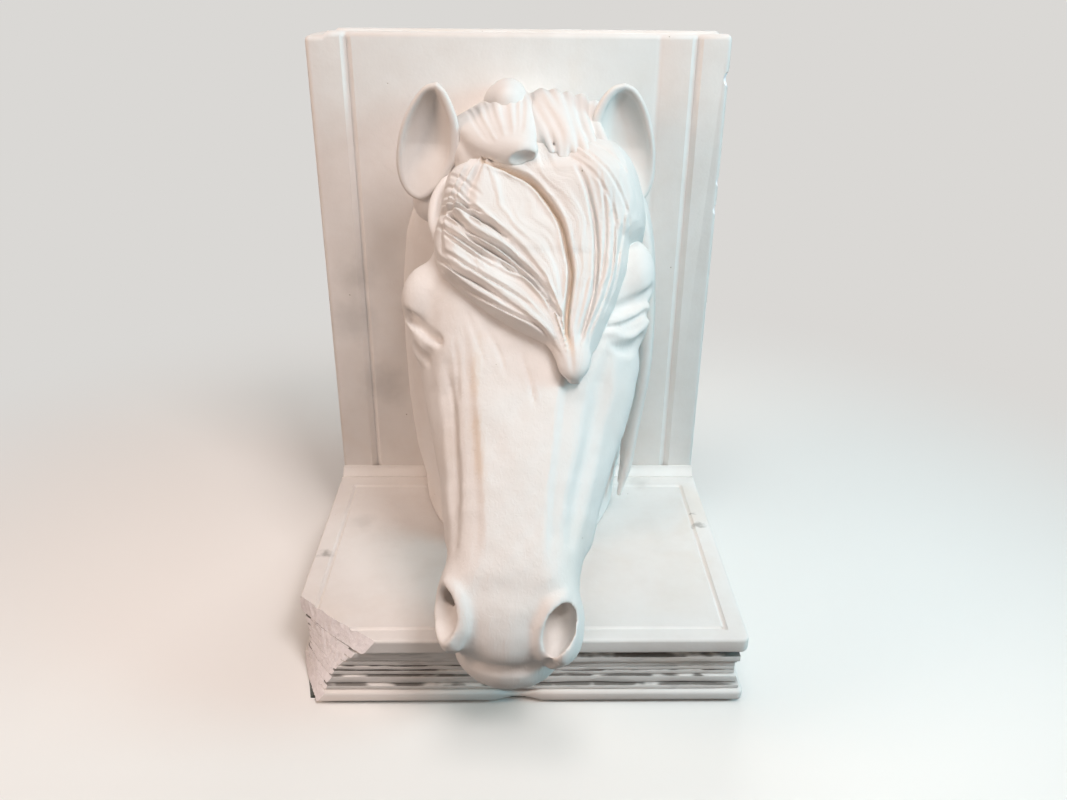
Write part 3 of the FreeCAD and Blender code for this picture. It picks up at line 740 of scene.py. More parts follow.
# where the plane of the rim is, how deep the cup is, its wall, the rim outside and beside the poll, the turn,
# and the foot: height, how far behind the rim, and radius
earSizes = {"plane": {-1: -30.0, 1: -28.0}, "bowl": 5.2, "bowlEdge": 7.5, "wall": 1.9, "rim": 0.75, "innerRim": 0.8,
            "turn": 0.25, "foot": [(130, 9.0, 3.5), (121, 8.5, 6.0), (112, 8.5, 7.5)]}


def earClay(hand):
    # axes: across, up, and back from the plane of the rim
    line = np.array(earOutlines[hand])
    low, high = line.min(0) - (6, 14), line.max(0) + 6
    clay = Clay((low[0], low[1], -10), (high[0], high[1], 22), sculpt["earStep"])
    a, b = clay.axes[0].ravel(), clay.axes[1].ravel()
    back = clay.axes[2]
    path = smoothPath(np.vstack([line, line[:1]]))[:-1]
    away, _ = nearLine(a, b, np.vstack([line, line[:1]]))
    ends = np.roll(path, -1, axis=0)
    turns = np.zeros(away.shape, int)
    for (x0, z0), (x1, z1) in zip(path, ends):
        if z0 != z1:
            crossing = (b > min(z0, z1)) & (b <= max(z0, z1))
            turns += ((a[:, None] < x0 + (b[None, :] - z0) * (x1 - x0) / (z1 - z0)) & crossing[None, :]).astype(int)
    inside = np.where(turns % 2 == 1, away, -away)
    middle = line[:, 0].mean()
    lean = earSizes["turn"] * (a - middle)[:, None] * hand
    depth = np.clip((inside - 0.6) / earSizes["bowlEdge"], 0, 1)
    cup = np.clip((b - line[:, 1].min()) / 16, 0.15, 1)[None, :]  # the cup runs out shallow at its foot
    bowl = lean + earSizes["bowl"] * cup * np.sin(depth * math.pi / 2)
    wall = earSizes["wall"] * (0.9 + 0.5 * depth)
    shell = np.abs(back - bowl[:, :, None]) - wall[:, :, None] / 2
    clay.field = smoothMax(shell, np.broadcast_to(-inside[:, :, None] * 0.9, shell.shape), 1.2)
    inner = np.clip(-hand * (a - middle)[:, None] / 9.0, 0, 1)  # the rim beside the poll is the thicker one
    thick = earSizes["rim"] + earSizes["innerRim"] * inner * cup
    rim = np.sqrt((inside - thick)[:, :, None] ** 2 + (back - lean[:, :, None]) ** 2) - thick[:, :, None]
    clay.field = smoothMin(clay.field, rim, 1.2).astype(np.float32)
    clay.strand([(middle + hand * (0.5 - index), *place) for index, place in enumerate(earSizes["foot"])], 2.5)
    return clay


def fromEar(hand):
    # across, up and back from the rim, to the frame
    return lambda places: np.stack([places[:, 0], places[:, 2] + earSizes["plane"][hand], places[:, 1]], 1) + ground


# ---- materials

def linear(code):
    # an sRGB hex colour as linear light
    values = [int(code[i:i + 2], 16) / 255 for i in (1, 3, 5)]
    return [v / 12.92 if v <= 0.04045 else ((v + 0.055) / 1.055) ** 2.4 for v in values] + [1.0]


def fill(node, inputs):
    # each input, by name or number, takes a socket, a hex colour or a value
    for key, value in inputs.items():
        if isinstance(value, bpy.types.NodeSocket):
            node.id_data.links.new(value, node.inputs[key])
        else:
            node.inputs[key].default_value = linear(value) if isinstance(value, str) else value


def addNode(tree, kind, inputs={}, output=0, **settings):
    # adds a shader node with its settings and inputs, and gives back one of its outputs
    node = tree.nodes.new("ShaderNode" + kind)
    for key, value in settings.items():
        setattr(node, key, value)
    fill(node, inputs)
    return node.outputs[output]


def cells(size):
    # texture scale that gives features of this many millimetres
    return 1000.0 / size


def startMaterial(name):
    # a new material, its node tree and the place on the piece
    material = bpy.data.materials.new(name)
    material.use_nodes = True
    return material, material.node_tree, addNode(material.node_tree, "TexCoord", output="Object")


def paintOver(tree, first, second, pattern, low, high, strength=1.0):
    # the second colour over the first: none where the pattern is below low, its full strength above high
    share = addNode(tree, "MapRange", {"Value": pattern, "From Min": low, "From Max": high, "To Max": strength},
                    interpolation_type="SMOOTHSTEP")
    return addNode(tree, "Mix", {0: share, 6: first, 7: second}, 2, data_type="RGBA")


def finishMaterial(tree, colour, relief, **constants):
    # relief lists patterns, with the height in millimetres that each gives the surface
    normal = {}
    for pattern, height in relief:
        normal = {"Normal": addNode(tree, "Bump", {"Height": pattern, "Distance": height * mm, **normal})}
    named = {key.replace("_", " "): value for key, value in constants.items()}
    fill(tree.nodes["Principled BSDF"], {"Base Color": colour, **normal, **named})


# gypsum plaster poured in a rubber mould: matt and chalky, faintly mottled where it dried,
# with air pinholes, and warm stains where old wax or glue has sunk in; sizes are in millimetres
plasterLook = {"white": "#E9E5E2", "shade": "#DCD4CE", "stain": "#D8BFA3", "grimeAndShadeColour": "#565049",
               "pinholeShade": "#A79C90",
               "mottle": 14.0, "cloud": 38.0, "grain": 0.7, "pinhole": 6.0, "grimeAndShadeSmear": 2.2, "smudgeEdge": 5.0,
               "hair": 1.1, "roughness": 0.62, "specular": 0.35}


def castPlaster(name, streaks=None, stained=0.18, grimeAndShade=0.0, smudges=()):
    # streaks are the fine lines combed into the face or carved along the hair
    look = plasterLook
    material, tree, place = startMaterial(name)
    smooth = {"interpolation_type": "SMOOTHSTEP"}
    mottle = addNode(tree, "TexNoise",
                     {"Vector": place, "Scale": cells(look["mottle"]), "Detail": 4.0, "Roughness": 0.62})
    cloud = addNode(tree, "TexNoise",
                    {"Vector": place, "Scale": cells(look["cloud"]), "Detail": 3.0, "Distortion": 0.6})
    grain = addNode(tree, "TexNoise", {"Vector": place, "Scale": cells(look["grain"]), "Detail": 3.0})
    centre = addNode(tree, "TexVoronoi", {"Vector": place, "Scale": cells(look["pinhole"])}, "Distance")
    few = addNode(tree, "SeparateColor", {"Color": centre.node.outputs["Color"]})
    few = addNode(tree, "MapRange", {"Value": few, "From Min": 0.86, "From Max": 0.90}, **smooth)  # one cell in eight
    near = addNode(tree, "MapRange", {"Value": centre, "From Min": 0.055, "From Max": 0.02}, **smooth)
    hole = addNode(tree, "Math", {0: near, 1: few}, operation="MULTIPLY")
    colour = paintOver(tree, look["white"], look["shade"], mottle, 0.35, 0.75, 0.35)
    colour = paintOver(tree, colour, look["stain"], cloud, 0.56, 0.78, stained)
    if smudges:
        # the edges of a smudge wander
        wander = addNode(tree, "TexNoise", {"Vector": place, "Scale": cells(look["smudgeEdge"]), "Detail": 3.0},
                         "Color")
        wander = addNode(tree, "VectorMath", {0: wander, "Scale": 0.008}, operation="SCALE")
        wander = addNode(tree, "VectorMath", {0: place, 1: wander}, operation="ADD")
    for *centre, radius, share in smudges:
        away = addNode(tree, "VectorMath", {0: wander, 1: [(c + 4) * mm for c in centre]}, "Value",
                       operation="DISTANCE")
        colour = paintOver(tree, colour, look["grimeAndShadeColour"], away, radius * mm, 0.1 * radius * mm, share)
    # a darker smear over the colour: dust on the page edges, and at the slots' strength painted shade with dirt in the
    # slots between pages
    if grimeAndShade:
        grimeAndShadePlace = addNode(tree, "Mapping", {"Vector": place, "Scale": (0.25, 0.25, 1.0)})
        grimeAndShadeSmear = addNode(tree, "TexNoise",
                        {"Vector": grimeAndShadePlace, "Scale": cells(look["grimeAndShadeSmear"]), "Detail": 2.0, "Roughness": 0.5})
        colour = paintOver(tree, colour, look["grimeAndShadeColour"], grimeAndShadeSmear, 0.56 - 0.2 * grimeAndShade, 0.72 - 0.2 * grimeAndShade, grimeAndShade)
    if streaks:
        sunk = addNode(tree, "Attribute", output="Fac", attribute_name="stain")
        colour = addNode(tree, "Mix", {0: sunk, 6: colour, 7: look["stain"]}, 2, data_type="RGBA")
    colour = addNode(tree, "Mix", {0: hole, 6: colour, 7: look["pinholeShade"]}, 2, data_type="RGBA")
    relief = [(mottle, 0.3), (hole, -0.2), (grain, 0.03)]
    if streaks == "hair":
        across, along, kept = [addNode(tree, "Attribute", output="Fac", attribute_name=mark)
                               for mark in ("hairAcross", "hairAlong", "hairDepth")]
        flow = addNode(tree, "CombineXYZ", {"X": across, "Y": along})
        lie = addNode(tree, "Mapping", {"Vector": flow, "Scale": (1.0, 0.05, 1.0)})  # a hair is drawn long and thin
        hairs = addNode(tree, "TexNoise", {"Vector": lie, "Scale": 1.5, "Detail": 2.0})
        hairs = addNode(tree, "MapRange", {"Value": hairs, "From Min": 0.3, "From Max": 0.7}, **smooth)
        relief.append((addNode(tree, "Math", {0: hairs, 1: kept}, operation="MULTIPLY"), 0.12))
    if streaks == "face":
        lie = addNode(tree, "Mapping",
                      {"Vector": place, "Rotation": (pitch, 0, math.radians(-7)), "Scale": (1.0, 1.0, 0.10)})
        hairs = addNode(tree, "TexNoise",
                        {"Vector": lie, "Scale": cells(look["hair"]), "Detail": 2.0, "Distortion": 0.8})
        relief.append((addNode(tree, "MapRange", {"Value": hairs, "From Min": 0.45, "From Max": 0.7}, **smooth),
                       0.03))
    rough = addNode(tree, "MapRange",
                    {"Value": mottle, "To Min": look["roughness"] - 0.08, "To Max": look["roughness"] + 0.12})
    finishMaterial(tree, colour, relief, Roughness=rough, Specular_IOR_Level=look["specular"])
    return material


def brokenPlaster():
    # plaster inside a fresh break: whiter than the aged skin, rough as sugar, with small crumbs torn out
    material, tree, place = startMaterial("brokenPlaster")
    crumbs = addNode(tree, "TexNoise", {"Vector": place, "Scale": cells(1.4), "Detail": 6.0, "Roughness": 0.7})
    torn = addNode(tree, "TexVoronoi", {"Vector": place, "Scale": cells(4.5)}, "Distance")
    colour = paintOver(tree, "#FDF9FB", "#F4EFF2", crumbs, 0.35, 0.7)
    finishMaterial(tree, colour, [(torn, 0.25), (crumbs, 0.3)], Roughness=0.85, Specular_IOR_Level=0.2)
    return material


def woolFelt():
    # pressed wool felt: fibres lie every way, so the surface is fuzzy and slightly uneven in colour
    material, tree, place = startMaterial("woolFelt")
    fibres = addNode(tree, "TexNoise", {"Vector": place, "Scale": cells(0.9), "Detail": 6.0, "Distortion": 2.5})
    tufts = addNode(tree, "TexNoise", {"Vector": place, "Scale": cells(6), "Detail": 3.0})
    colour = paintOver(tree, "#454C43", "#353B33", fibres, 0.35, 0.68)
    colour = paintOver(tree, colour, "#2B302A", tufts, 0.45, 0.75, 0.4)
    finishMaterial(tree, colour, [(fibres, 0.25)], Roughness=0.95, Sheen_Weight=0.25)
    return material


def drawnSteel():
    # cold drawn mild steel rod: fine lines along its length, with a thin grey oxide
    material, tree, place = startMaterial("drawnSteel")
    lie = addNode(tree, "Mapping", {"Vector": place, "Scale": (1.0, 0.03, 1.0)})
    lines = addNode(tree, "TexNoise", {"Vector": lie, "Scale": cells(0.4), "Detail": 2.0})
    oxide = addNode(tree, "TexNoise", {"Vector": place, "Scale": cells(5), "Detail": 4.0})
    colour = paintOver(tree, "#A9A8A6", "#7E7B78", oxide, 0.4, 0.7)
    rough = addNode(tree, "MapRange", {"Value": lines, "To Min": 0.28, "To Max": 0.5})
    finishMaterial(tree, colour, [(lines, 0.02)], Roughness=rough, Metallic=1.0)
    return material


# smudges of handling on the books: place, radius and strength
smudges = [(-65, -16.8, 24.5, 3.4, 0.55), (64, -0.1, 24.2, 2.3, 0.5), (64.2, 8.4, 24.2, 1.8, 0.45),
           (-56, 2, 24.5, 7, 0.12),
           (-60, 37, 88, 12, 0.2), (-57.5, 37, 104, 9, 0.16), (-50, 37, 62, 12, 0.2), (47, 29, 24.5, 6, 0.16)]
plaster = castPlaster("castPlaster")
bookPlaster = castPlaster("handledPlaster", smudges=smudges)
facePlaster = castPlaster("combedPlaster", "face", 0.12)
hairPlaster = castPlaster("carvedHairPlaster", "hair", 0.1)
pagePlaster = castPlaster("dustyPlaster", stained=0.3, grimeAndShade=0.18)
# painted shade with some dirt, for the faces inside the slots between pages and for the core behind them
slotShadeAndGrimePlaster = castPlaster("paintedSlotShadeAndGrime", stained=0.3, grimeAndShade=0.85)
broken = brokenPlaster()
felt = woolFelt()
steel = drawnSteel()
print("materials made")


def finishPiece(piece, node, *materials):
    while len(piece.data.materials) < len(materials):
        piece.data.materials.append(None)
    for index, material in enumerate(materials):
        piece.data.materials[index] = material
    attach(piece, "root")
    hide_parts(node)


# ---- the horse

headClay, faceMarks = headShape()
forelockClay, hairMarks = forelockShape(headClay)
for name, node, clay, toFrame, marks, material in (
        ("horseHead", "horse_head", headClay, fromHead, faceMarks, facePlaster),
        ("forelockHair", "forelock", forelockClay, fromHead, hairMarks, hairPlaster),
        ("horseNeck", "horse_neck", neckShape(), fromCover, {}, plaster),
        ("pollLock", "poll_lock", pollLockShape(), fromCover, {}, plaster),
        ("crestHair", "mane_crest", crestShape(), fromCover, {}, plaster),
        ("sideLock", "mane_side_lock", sideLockShape(), fromCover, {}, plaster),
        ("leftEar", "left_ear", earClay(-1), fromEar(-1), {}, plaster),
        ("rightEar", "right_ear", earClay(1), fromEar(1), {}, plaster)):
    finishPiece(clayPiece(clay, name, toFrame, marks, "Ear" in name), node, material)
print("horse sculpted")


# ---- books: boards and page blocks, modelled from blocks

def block(name, low, high):
    bpy.ops.object.select_all(action="DESELECT")
    bpy.ops.mesh.primitive_cube_add(size=1, location=[(a + b) / 2 * mm for a, b in zip(low, high)])
    piece = bpy.context.object
    piece.name = piece.data.name = name
    piece.scale = [(b - a) * mm for a, b in zip(low, high)]
    bpy.ops.object.transform_apply(location=True, rotation=True, scale=True)
    return piece


def slit(piece, places, axis):
    # cuts straight across the piece at places along one axis
    select(piece)
    bpy.ops.object.mode_set(mode="EDIT")
    for place in places:
        bpy.ops.mesh.select_all(action="SELECT")
        normal = [1.0 if axis == i else 0.0 for i in range(3)]
        bpy.ops.mesh.bisect(plane_co=[n * place * mm for n in normal], plane_no=normal)
    bpy.ops.object.mode_set(mode="OBJECT")


def moveCorners(piece, test, offset):
    # moves every corner that the test picks, by millimetres
    mesh = piece.data
    mesh.polygons.foreach_set("select", np.zeros(len(mesh.polygons), bool))
    mesh.edges.foreach_set("select", np.zeros(len(mesh.edges), bool))
    picked = [test(*(vertex.co / mm)) for vertex in mesh.vertices]
    mesh.vertices.foreach_set("select", picked)
    select(piece)
    bpy.ops.object.mode_set(mode="EDIT")
    bpy.ops.transform.translate(value=[v * mm for v in offset])
    bpy.ops.object.mode_set(mode="OBJECT")


def roundEdges(piece, width, segments=3, angle=40):
    modifier = piece.modifiers.new("roundedEdge", "BEVEL")
    modifier.width = width * mm
    modifier.segments = segments
    modifier.limit_method = "ANGLE"
    modifier.angle_limit = math.radians(angle)
    select(piece)
    bpy.ops.object.modifier_apply(modifier=modifier.name)
    bpy.ops.object.mode_set(mode="EDIT")
    bpy.ops.mesh.select_all(action="SELECT")
    bpy.ops.mesh.remove_doubles(threshold=0.03 * mm)
    bpy.ops.object.mode_set(mode="OBJECT")
    bpy.ops.object.shade_smooth_by_angle(angle=math.radians(35))


def cutAway(piece, cutter):
    modifier = piece.modifiers.new("brokenOff", "BOOLEAN")
    modifier.operation = "DIFFERENCE"
    modifier.solver = "EXACT"
    modifier.object = cutter
    modifier.material_mode = "TRANSFER"
    select(piece)
    bpy.ops.object.modifier_apply(modifier=modifier.name)


def millimetres(node):
    return [[v / mm for v in corner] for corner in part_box(node)]


# the broken corner: how far it reaches along the side and the front, at the top and at the bottom
chip = {"topSide": 21.5, "topFront": 27.5, "bottomSide": 20.5, "bottomFront": 6.5, "middle": 0.47, "rough": 0.2,
        "cuts": 14}


def chipCutter():
    low, high = millimetres("lower_book_bottom_board")[0], millimetres("lower_book_top_board")[1]
    corner = block("chipCutter", (low[0] - 10, low[1] - 10, low[2] - 0.4), (low[0], low[1], high[2] + 0.4))
    for vertex in corner.data.vertices:
        x, y, z = vertex.co / mm
        end = "top" if z > (low[2] + high[2]) / 2 else "bottom"
        front, side = chip[end + "Front"], chip[end + "Side"]
        if x > low[0] - 5 and y < low[1] - 5:
            x, y = low[0] + front + 1, low[1] - 1.0
        elif x < low[0] - 5 and y > low[1] - 5:
            x, y = low[0] - 1.0, low[1] + side + 1
        elif x > low[0] - 5:
            x, y = low[0] + front * chip["middle"], low[1] + side * chip["middle"]
        vertex.co = Vector((x, y, z)) * mm
    corner.data.materials.append(broken)
    select(corner)
    bpy.ops.object.mode_set(mode="EDIT")
    bpy.ops.mesh.select_all(action="SELECT")
    bpy.ops.mesh.subdivide(number_cuts=chip["cuts"])
    bpy.ops.mesh.quads_convert_to_tris()
    bpy.ops.transform.vertex_random(offset=chip["rough"] * mm, seed=4)
    bpy.ops.object.mode_set(mode="OBJECT")
    return corner


# boards of the lying book: how round their edges are, and the line drawn round the panel
boardLook = {"rounding": 2.0, "corner": 2.5, "line": 62.0, "lineFront": 5.5, "lineRear": 10.0, "lineHalf": 0.9,
             "lineDepth": 1.0, "warp": 0.25}
# the bottom board is thinner, with a scallop at the middle of its front: half width and depth, inwards and downwards
bottomLook = {"rounding": 0.9, "corner": 2.0, "cuts": [-7.0, -4.5, -2.0, 2.0, 4.5, 7.0],
              "inwards": [(4.6, 0.9), (2.1, 0.7)], "downwards": [(4.6, 0.8), (2.1, 0.8)]}


def roundCorners(piece, radius):
    # rounds the upright edges of a board
    mesh = piece.data
    mesh.polygons.foreach_set("select", np.zeros(len(mesh.polygons), bool))
    mesh.vertices.foreach_set("select", np.zeros(len(mesh.vertices), bool))
    for edge in mesh.edges:
        a, b = [mesh.vertices[i] for i in edge.vertices]
        edge.select = abs(a.co.z - b.co.z) > 0.001
        if edge.select:
            a.select = b.select = True
    select(piece)
    bpy.context.tool_settings.mesh_select_mode = (False, True, False)
    bpy.ops.object.mode_set(mode="EDIT")
    bpy.ops.mesh.bevel(offset=radius * mm, segments=5)
    bpy.ops.object.mode_set(mode="OBJECT")
    bpy.context.tool_settings.mesh_select_mode = (True, False, False)


def topBoard():
    low, high = millimetres("lower_book_top_board")
    piece = block("topBoard", low, high)
    roundCorners(piece, boardLook["corner"])
    half, depth = boardLook["lineHalf"], boardLook["lineDepth"]
    front, rear = low[1] + boardLook["lineFront"], coverFace - boardLook["lineRear"]
    side = boardLook["line"]
    slit(piece, [s * side + d for s in (-1, 1) for d in (-half, 0, half)], 0)
    slit(piece, [y + d for y in (front, rear) for d in (-half, 0, half)], 1)

    def onLine(x, y, z):
        if z < high[2] - 0.1:
            return False
        alongSide = abs(abs(x) - side) < 0.1 and front - 0.1 < y < rear + 0.1
        return alongSide or (min(abs(y - front), abs(y - rear)) < 0.1 and abs(x) < side + 0.1)

    moveCorners(piece, onLine, (0, 0, -depth))
    # the board has warped a little
    moveCorners(piece, lambda x, y, z: z < low[2] + 0.1 and x > 60, (0, 0, boardLook["warp"]))
    roundEdges(piece, boardLook["rounding"], 4, 60)
    return piece


def bottomBoard():
    low, high = millimetres("lower_book_bottom_board")
    piece = block("bottomBoard", low, high)
    roundCorners(piece, bottomLook["corner"])
    slit(piece, bottomLook["cuts"], 0)
    for reach, depth in bottomLook["inwards"]:
        moveCorners(piece, lambda x, y, z: y < low[1] + 2.5 and abs(x) < reach, (0, depth, 0))
    for reach, depth in bottomLook["downwards"]:
        moveCorners(piece, lambda x, y, z: y < low[1] + 4.5 and abs(x) < reach and z > low[2] + 0.2, (0, 0, -depth))
    roundEdges(piece, bottomLook["rounding"], 3, 60)
    return piece


# page blocks: layers of the moulded page edges, each wandering a little
pageLook = {"layers": 7, "slot": 0.44, "slotDeep": 3.0, "wander": 0.16, "hollow": 2.0, "waves": 16, "seed": 12,
            "rounding": 0.22, "sagFrom": -22.0, "sagOver": 34.0}


def pageBlock(name, low, high, free, materials, sag=0.0, cutter=None):
    # lies flat, its layers stacked upwards and its top layers sagging towards the right;
    # free tells which of left, right, front and rear can be seen
    look = pageLook
    dice = np.random.default_rng(look["seed"])
    deep = look["slotDeep"]
    coreLow = [low[i] + (deep if free[key] else 0.0) for i, key in ((0, "left"), (1, "front"))] + [low[2]]
    coreHigh = [high[i] - (deep if free[key] else 0.0) for i, key in ((0, "right"), (1, "rear"))] + [high[2]]
    pieces = [block(name, coreLow, coreHigh)]
    heights = np.cumsum(dice.uniform(0.7, 1.3, look["layers"]))
    heights = low[2] + (high[2] - low[2] - 0.15) * np.concatenate([[0.0], heights / heights[-1]])
    for bottom, top in zip(heights, heights[1:]):
        share = ((bottom + top) / 2 - low[2]) / (high[2] - low[2])
        inset = look["hollow"] * math.sin(math.pi * share) ** 0.8 + dice.uniform(0, 0.25)
        slot = look["slot"] * dice.uniform(0.6, 1.3)
        a = [low[0] + (inset if free["left"] else 0), low[1] + (inset if free["front"] else 0), bottom + slot / 2]
        b = [high[0] - (inset if free["right"] else 0), high[1] - (inset if free["rear"] else 0), top - slot / 2]
        layer = block(name + "Layer", a, b)
        slit(layer, np.linspace(a[0], b[0], look["waves"] + 1)[1:-1] + dice.uniform(-2, 2, look["waves"] - 1), 0)
        for vertex in layer.data.vertices:
            x, y, z = vertex.co / mm
            shift = dice.uniform(-1, 1, 2) * look["wander"]
            fall = sag * min(max((x - look["sagFrom"]) / look["sagOver"], 0.05), 1) * share ** 3
            vertex.co = Vector((x, y + shift[0], z + shift[1] * 0.6 - fall)) * mm
        roundEdges(layer, look["rounding"], 2)
        pieces.append(layer)
    for piece in pieces:
        for material in materials:
            piece.data.materials.append(material)
        # what faces into a slot, and the core behind the slots, takes the second material, which is darker: painted
        # shade in the slots, with some dirt
        for face in piece.data.polygons:
            face.material_index = int(abs(face.normal.z) > 0.7 or piece == pieces[0])
        if cutter:
            # the core's break lies just under the layers'
            cutter.location = [0.05 * mm if piece == pieces[0] else 0.0] * 3
            cutAway(piece, cutter)
            dropCrumbs(piece)
    bpy.ops.object.select_all(action="DESELECT")
    for piece in pieces:
        piece.select_set(True)
    bpy.context.view_layer.objects.active = pieces[0]
    bpy.ops.object.join()
    return pieces[0]


# standing book's front cover: hinge grooves across it, nicks in its free edge
coverLook = {"rounding": 2.2, "grooves": [(-55.0, 1.8, 1.2), (57.0, 1.8, 1.1), (45.0, 1.5, 0.5)],
             "nicks": [(146.7, 2.6), (113.6, 1.7), (104.1, 1.9)], "nickShape": (0.9, 1.5, 1.0)}


def hingeGrooves(piece, face, grooves, into):
    for place, half, depth in grooves:
        slit(piece, [place + share * half for share in (-1, -0.5, 0, 0.5, 1)], 0)
        for share, part in ((0, 1.0), (-0.5, 0.6), (0.5, 0.6)):
            moveCorners(piece, lambda x, y, z: abs(y - face) < 0.1 and abs(x - place - share * half) < 0.05,
                        (0, into * depth * part, 0))


def cover(name, node):
    # a cover that reaches over the spine, where its top is a little lower
    low, high = millimetres(node)
    spineLow, spineHigh = millimetres("upright_spine")
    piece = block(name, (spineLow[0], low[1], low[2]), high)
    slit(piece, [low[0] - 0.8, low[0] + 0.8], 0)
    moveCorners(piece, lambda x, y, z: x < low[0] and z > high[2] - 0.1, (0, 0, spineHigh[2] - high[2]))
    return piece, low, high


def frontCover():
    piece, low, high = cover("frontCover", "upright_front_board")
    hingeGrooves(piece, low[1], coverLook["grooves"], 1)
    roundEdges(piece, coverLook["rounding"], 4, 60)
    piece.data.materials.append(plaster)
    for height, radius in coverLook["nicks"]:
        bpy.ops.object.select_all(action="DESELECT")
        place = (high[0] + 0.35, low[1] + 0.6, bookTop + height)
        bpy.ops.mesh.primitive_ico_sphere_add(subdivisions=2, radius=radius * mm, location=[v * mm for v in place])
        nick = bpy.context.object
        nick.scale = coverLook["nickShape"]
        bpy.ops.object.transform_apply(location=True, rotation=True, scale=True)
        nick.data.materials.append(broken)
        cutAway(piece, nick)
        bpy.data.objects.remove(nick)
    return piece


def rearCover():
    piece, low, high = cover("rearCover", "upright_back_board")
    hingeGrooves(piece, high[1], coverLook["grooves"][:2], -1)
    roundEdges(piece, coverLook["rounding"], 4, 60)
    return piece


def standingSpine():
    # a slightly rounded back between the two covers
    low, high = millimetres("upright_spine")
    front, rear = millimetres("upright_front_board")[1][1], millimetres("upright_back_board")[0][1]
    piece = block("standingSpine", (low[0] + 0.3, front - 0.6, low[2]), (high[0] + 1, rear + 0.6, high[2]))
    slit(piece, [front + 2, (front + rear) / 2, rear - 2], 1)
    for edge in (front, rear):
        moveCorners(piece, lambda x, y, z: x < low[0] + 1 and edge - 1 < y < edge + 1, (1.2, 0, 0))
    roundEdges(piece, 0.8, 3, 50)
    return piece


def cove(name, width):
    # the fillet of plaster in the corner between the two books
    low, high = millimetres("joint_bead")
    piece = block(name, (low[0], high[1] - width, low[2]), (high[0], high[1], low[2] + width))
    mesh = piece.data
    select(piece)
    for edge in mesh.edges:
        a, b = [mesh.vertices[i].co / mm for i in edge.vertices]
        edge.select = min(a.z, b.z) > low[2] + width - 0.1 and max(a.y, b.y) < high[1] - width + 0.1
    mesh.polygons.foreach_set("select", np.zeros(len(mesh.polygons), bool))
    mesh.vertices.foreach_set("select", [v.co.z / mm > low[2] + width - 0.1 and v.co.y / mm < high[1] - width + 0.1
                                         for v in mesh.vertices])
    bpy.ops.object.mode_set(mode="EDIT")
    bpy.ops.mesh.bevel(offset=(width - 0.4) * mm, segments=7, profile=0.14)
    bpy.ops.object.mode_set(mode="OBJECT")
    bpy.ops.object.shade_smooth_by_angle(angle=math.radians(50))
    return piece


cutter = chipCutter()
for node, piece in (("lower_book_top_board", topBoard()), ("lower_book_bottom_board", bottomBoard())):
    piece.data.materials.append(plaster)
    cutAway(piece, cutter)
    finishPiece(piece, node, bookPlaster, broken)
low, high = millimetres("lower_book_page_block")
sides = {"left": True, "right": True, "front": True, "rear": False}
# the lying pages' slots and core take painted shade with dirt
lying = pageBlock("lyingPages", low, (high[0], high[1], high[2] - 0.2), sides, (pagePlaster, slotShadeAndGrimePlaster), 2.7,
                  cutter)
finishPiece(lying, "lower_book_page_block")
bpy.data.objects.remove(cutter)
finishPiece(frontCover(), "upright_front_board", bookPlaster, broken)
finishPiece(rearCover(), "upright_back_board", plaster)
finishPiece(standingSpine(), "upright_spine", plaster)
finishPiece(cove("jointCove", 3.4), "joint_bead", plaster)
low, high = millimetres("upright_page_block")
sides = {"left": False, "right": True, "front": False, "rear": True}
standing = pageBlock("standingPages", (low[0], low[2], -high[1]), (high[0], high[2] + 0.7, -low[1]), sides,
                     (plaster, pagePlaster))
standing.rotation_euler = (math.radians(90), 0, 0)
select(standing)
bpy.ops.object.transform_apply(location=True, rotation=True, scale=True)
finishPiece(standing, "upright_page_block")
print("books modelled")

for name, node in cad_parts.items():
    metal = name in ("neck_armature_rod", "base_dowels")
    for index in range(len(node.data.materials)):
        node.data.materials[index] = steel if metal else felt if name == "felt_pad" else plaster


# ---- floor, lamps and camera

# warm light from the left, cooler light from the right, and a broad soft one above the camera
studio = {"floor": "#EFEDEA", "bounce": "#5C5A58", "far": "#DAD8D5", "world": 0.03, "fade": (0.13, 0.34),
          "aim": (0, 0, 0.09),
          "sweepFrom": 1.4, "sweepStep": 0.12, "wall": 3,
          "lamps": {"rearLamp": [(0.15, 0.80, 0.45), 0.40, 2.4, (1.0, 1.0, 1.0)],
                    "keyLamp": [(0.26, -0.40, 0.72), 0.25, 3.2, (1.0, 0.95, 0.94)],
                    "topLamp": [(0.0, -0.12, 0.80), 0.25, 1.2, (1.0, 0.93, 0.89)],
                    "frontLamp": [(0.0, -0.62, 0.50), 0.25, 0.7, (1.0, 0.85, 0.75)],
                    "warmLamp": [(-0.70, -0.20, 0.35), 0.25, 2.3, (1.0, 0.74, 0.60)],
                    "coolLamp": [(0.70, -0.20, 0.35), 0.25, 2.8, (0.42, 0.86, 1.0)]}}


def seenBy(tree):
    # 1 for the camera and for what shows in metal or glass, 0 for light on its way to the object
    seen = addNode(tree, "LightPath", output="Is Camera Ray")
    rays = seen.node.outputs
    for kind in ("Is Glossy Ray", "Is Transmission Ray"):
        seen = addNode(tree, "Math", {0: seen, 1: rays[kind]}, operation="MAXIMUM")
    return seen


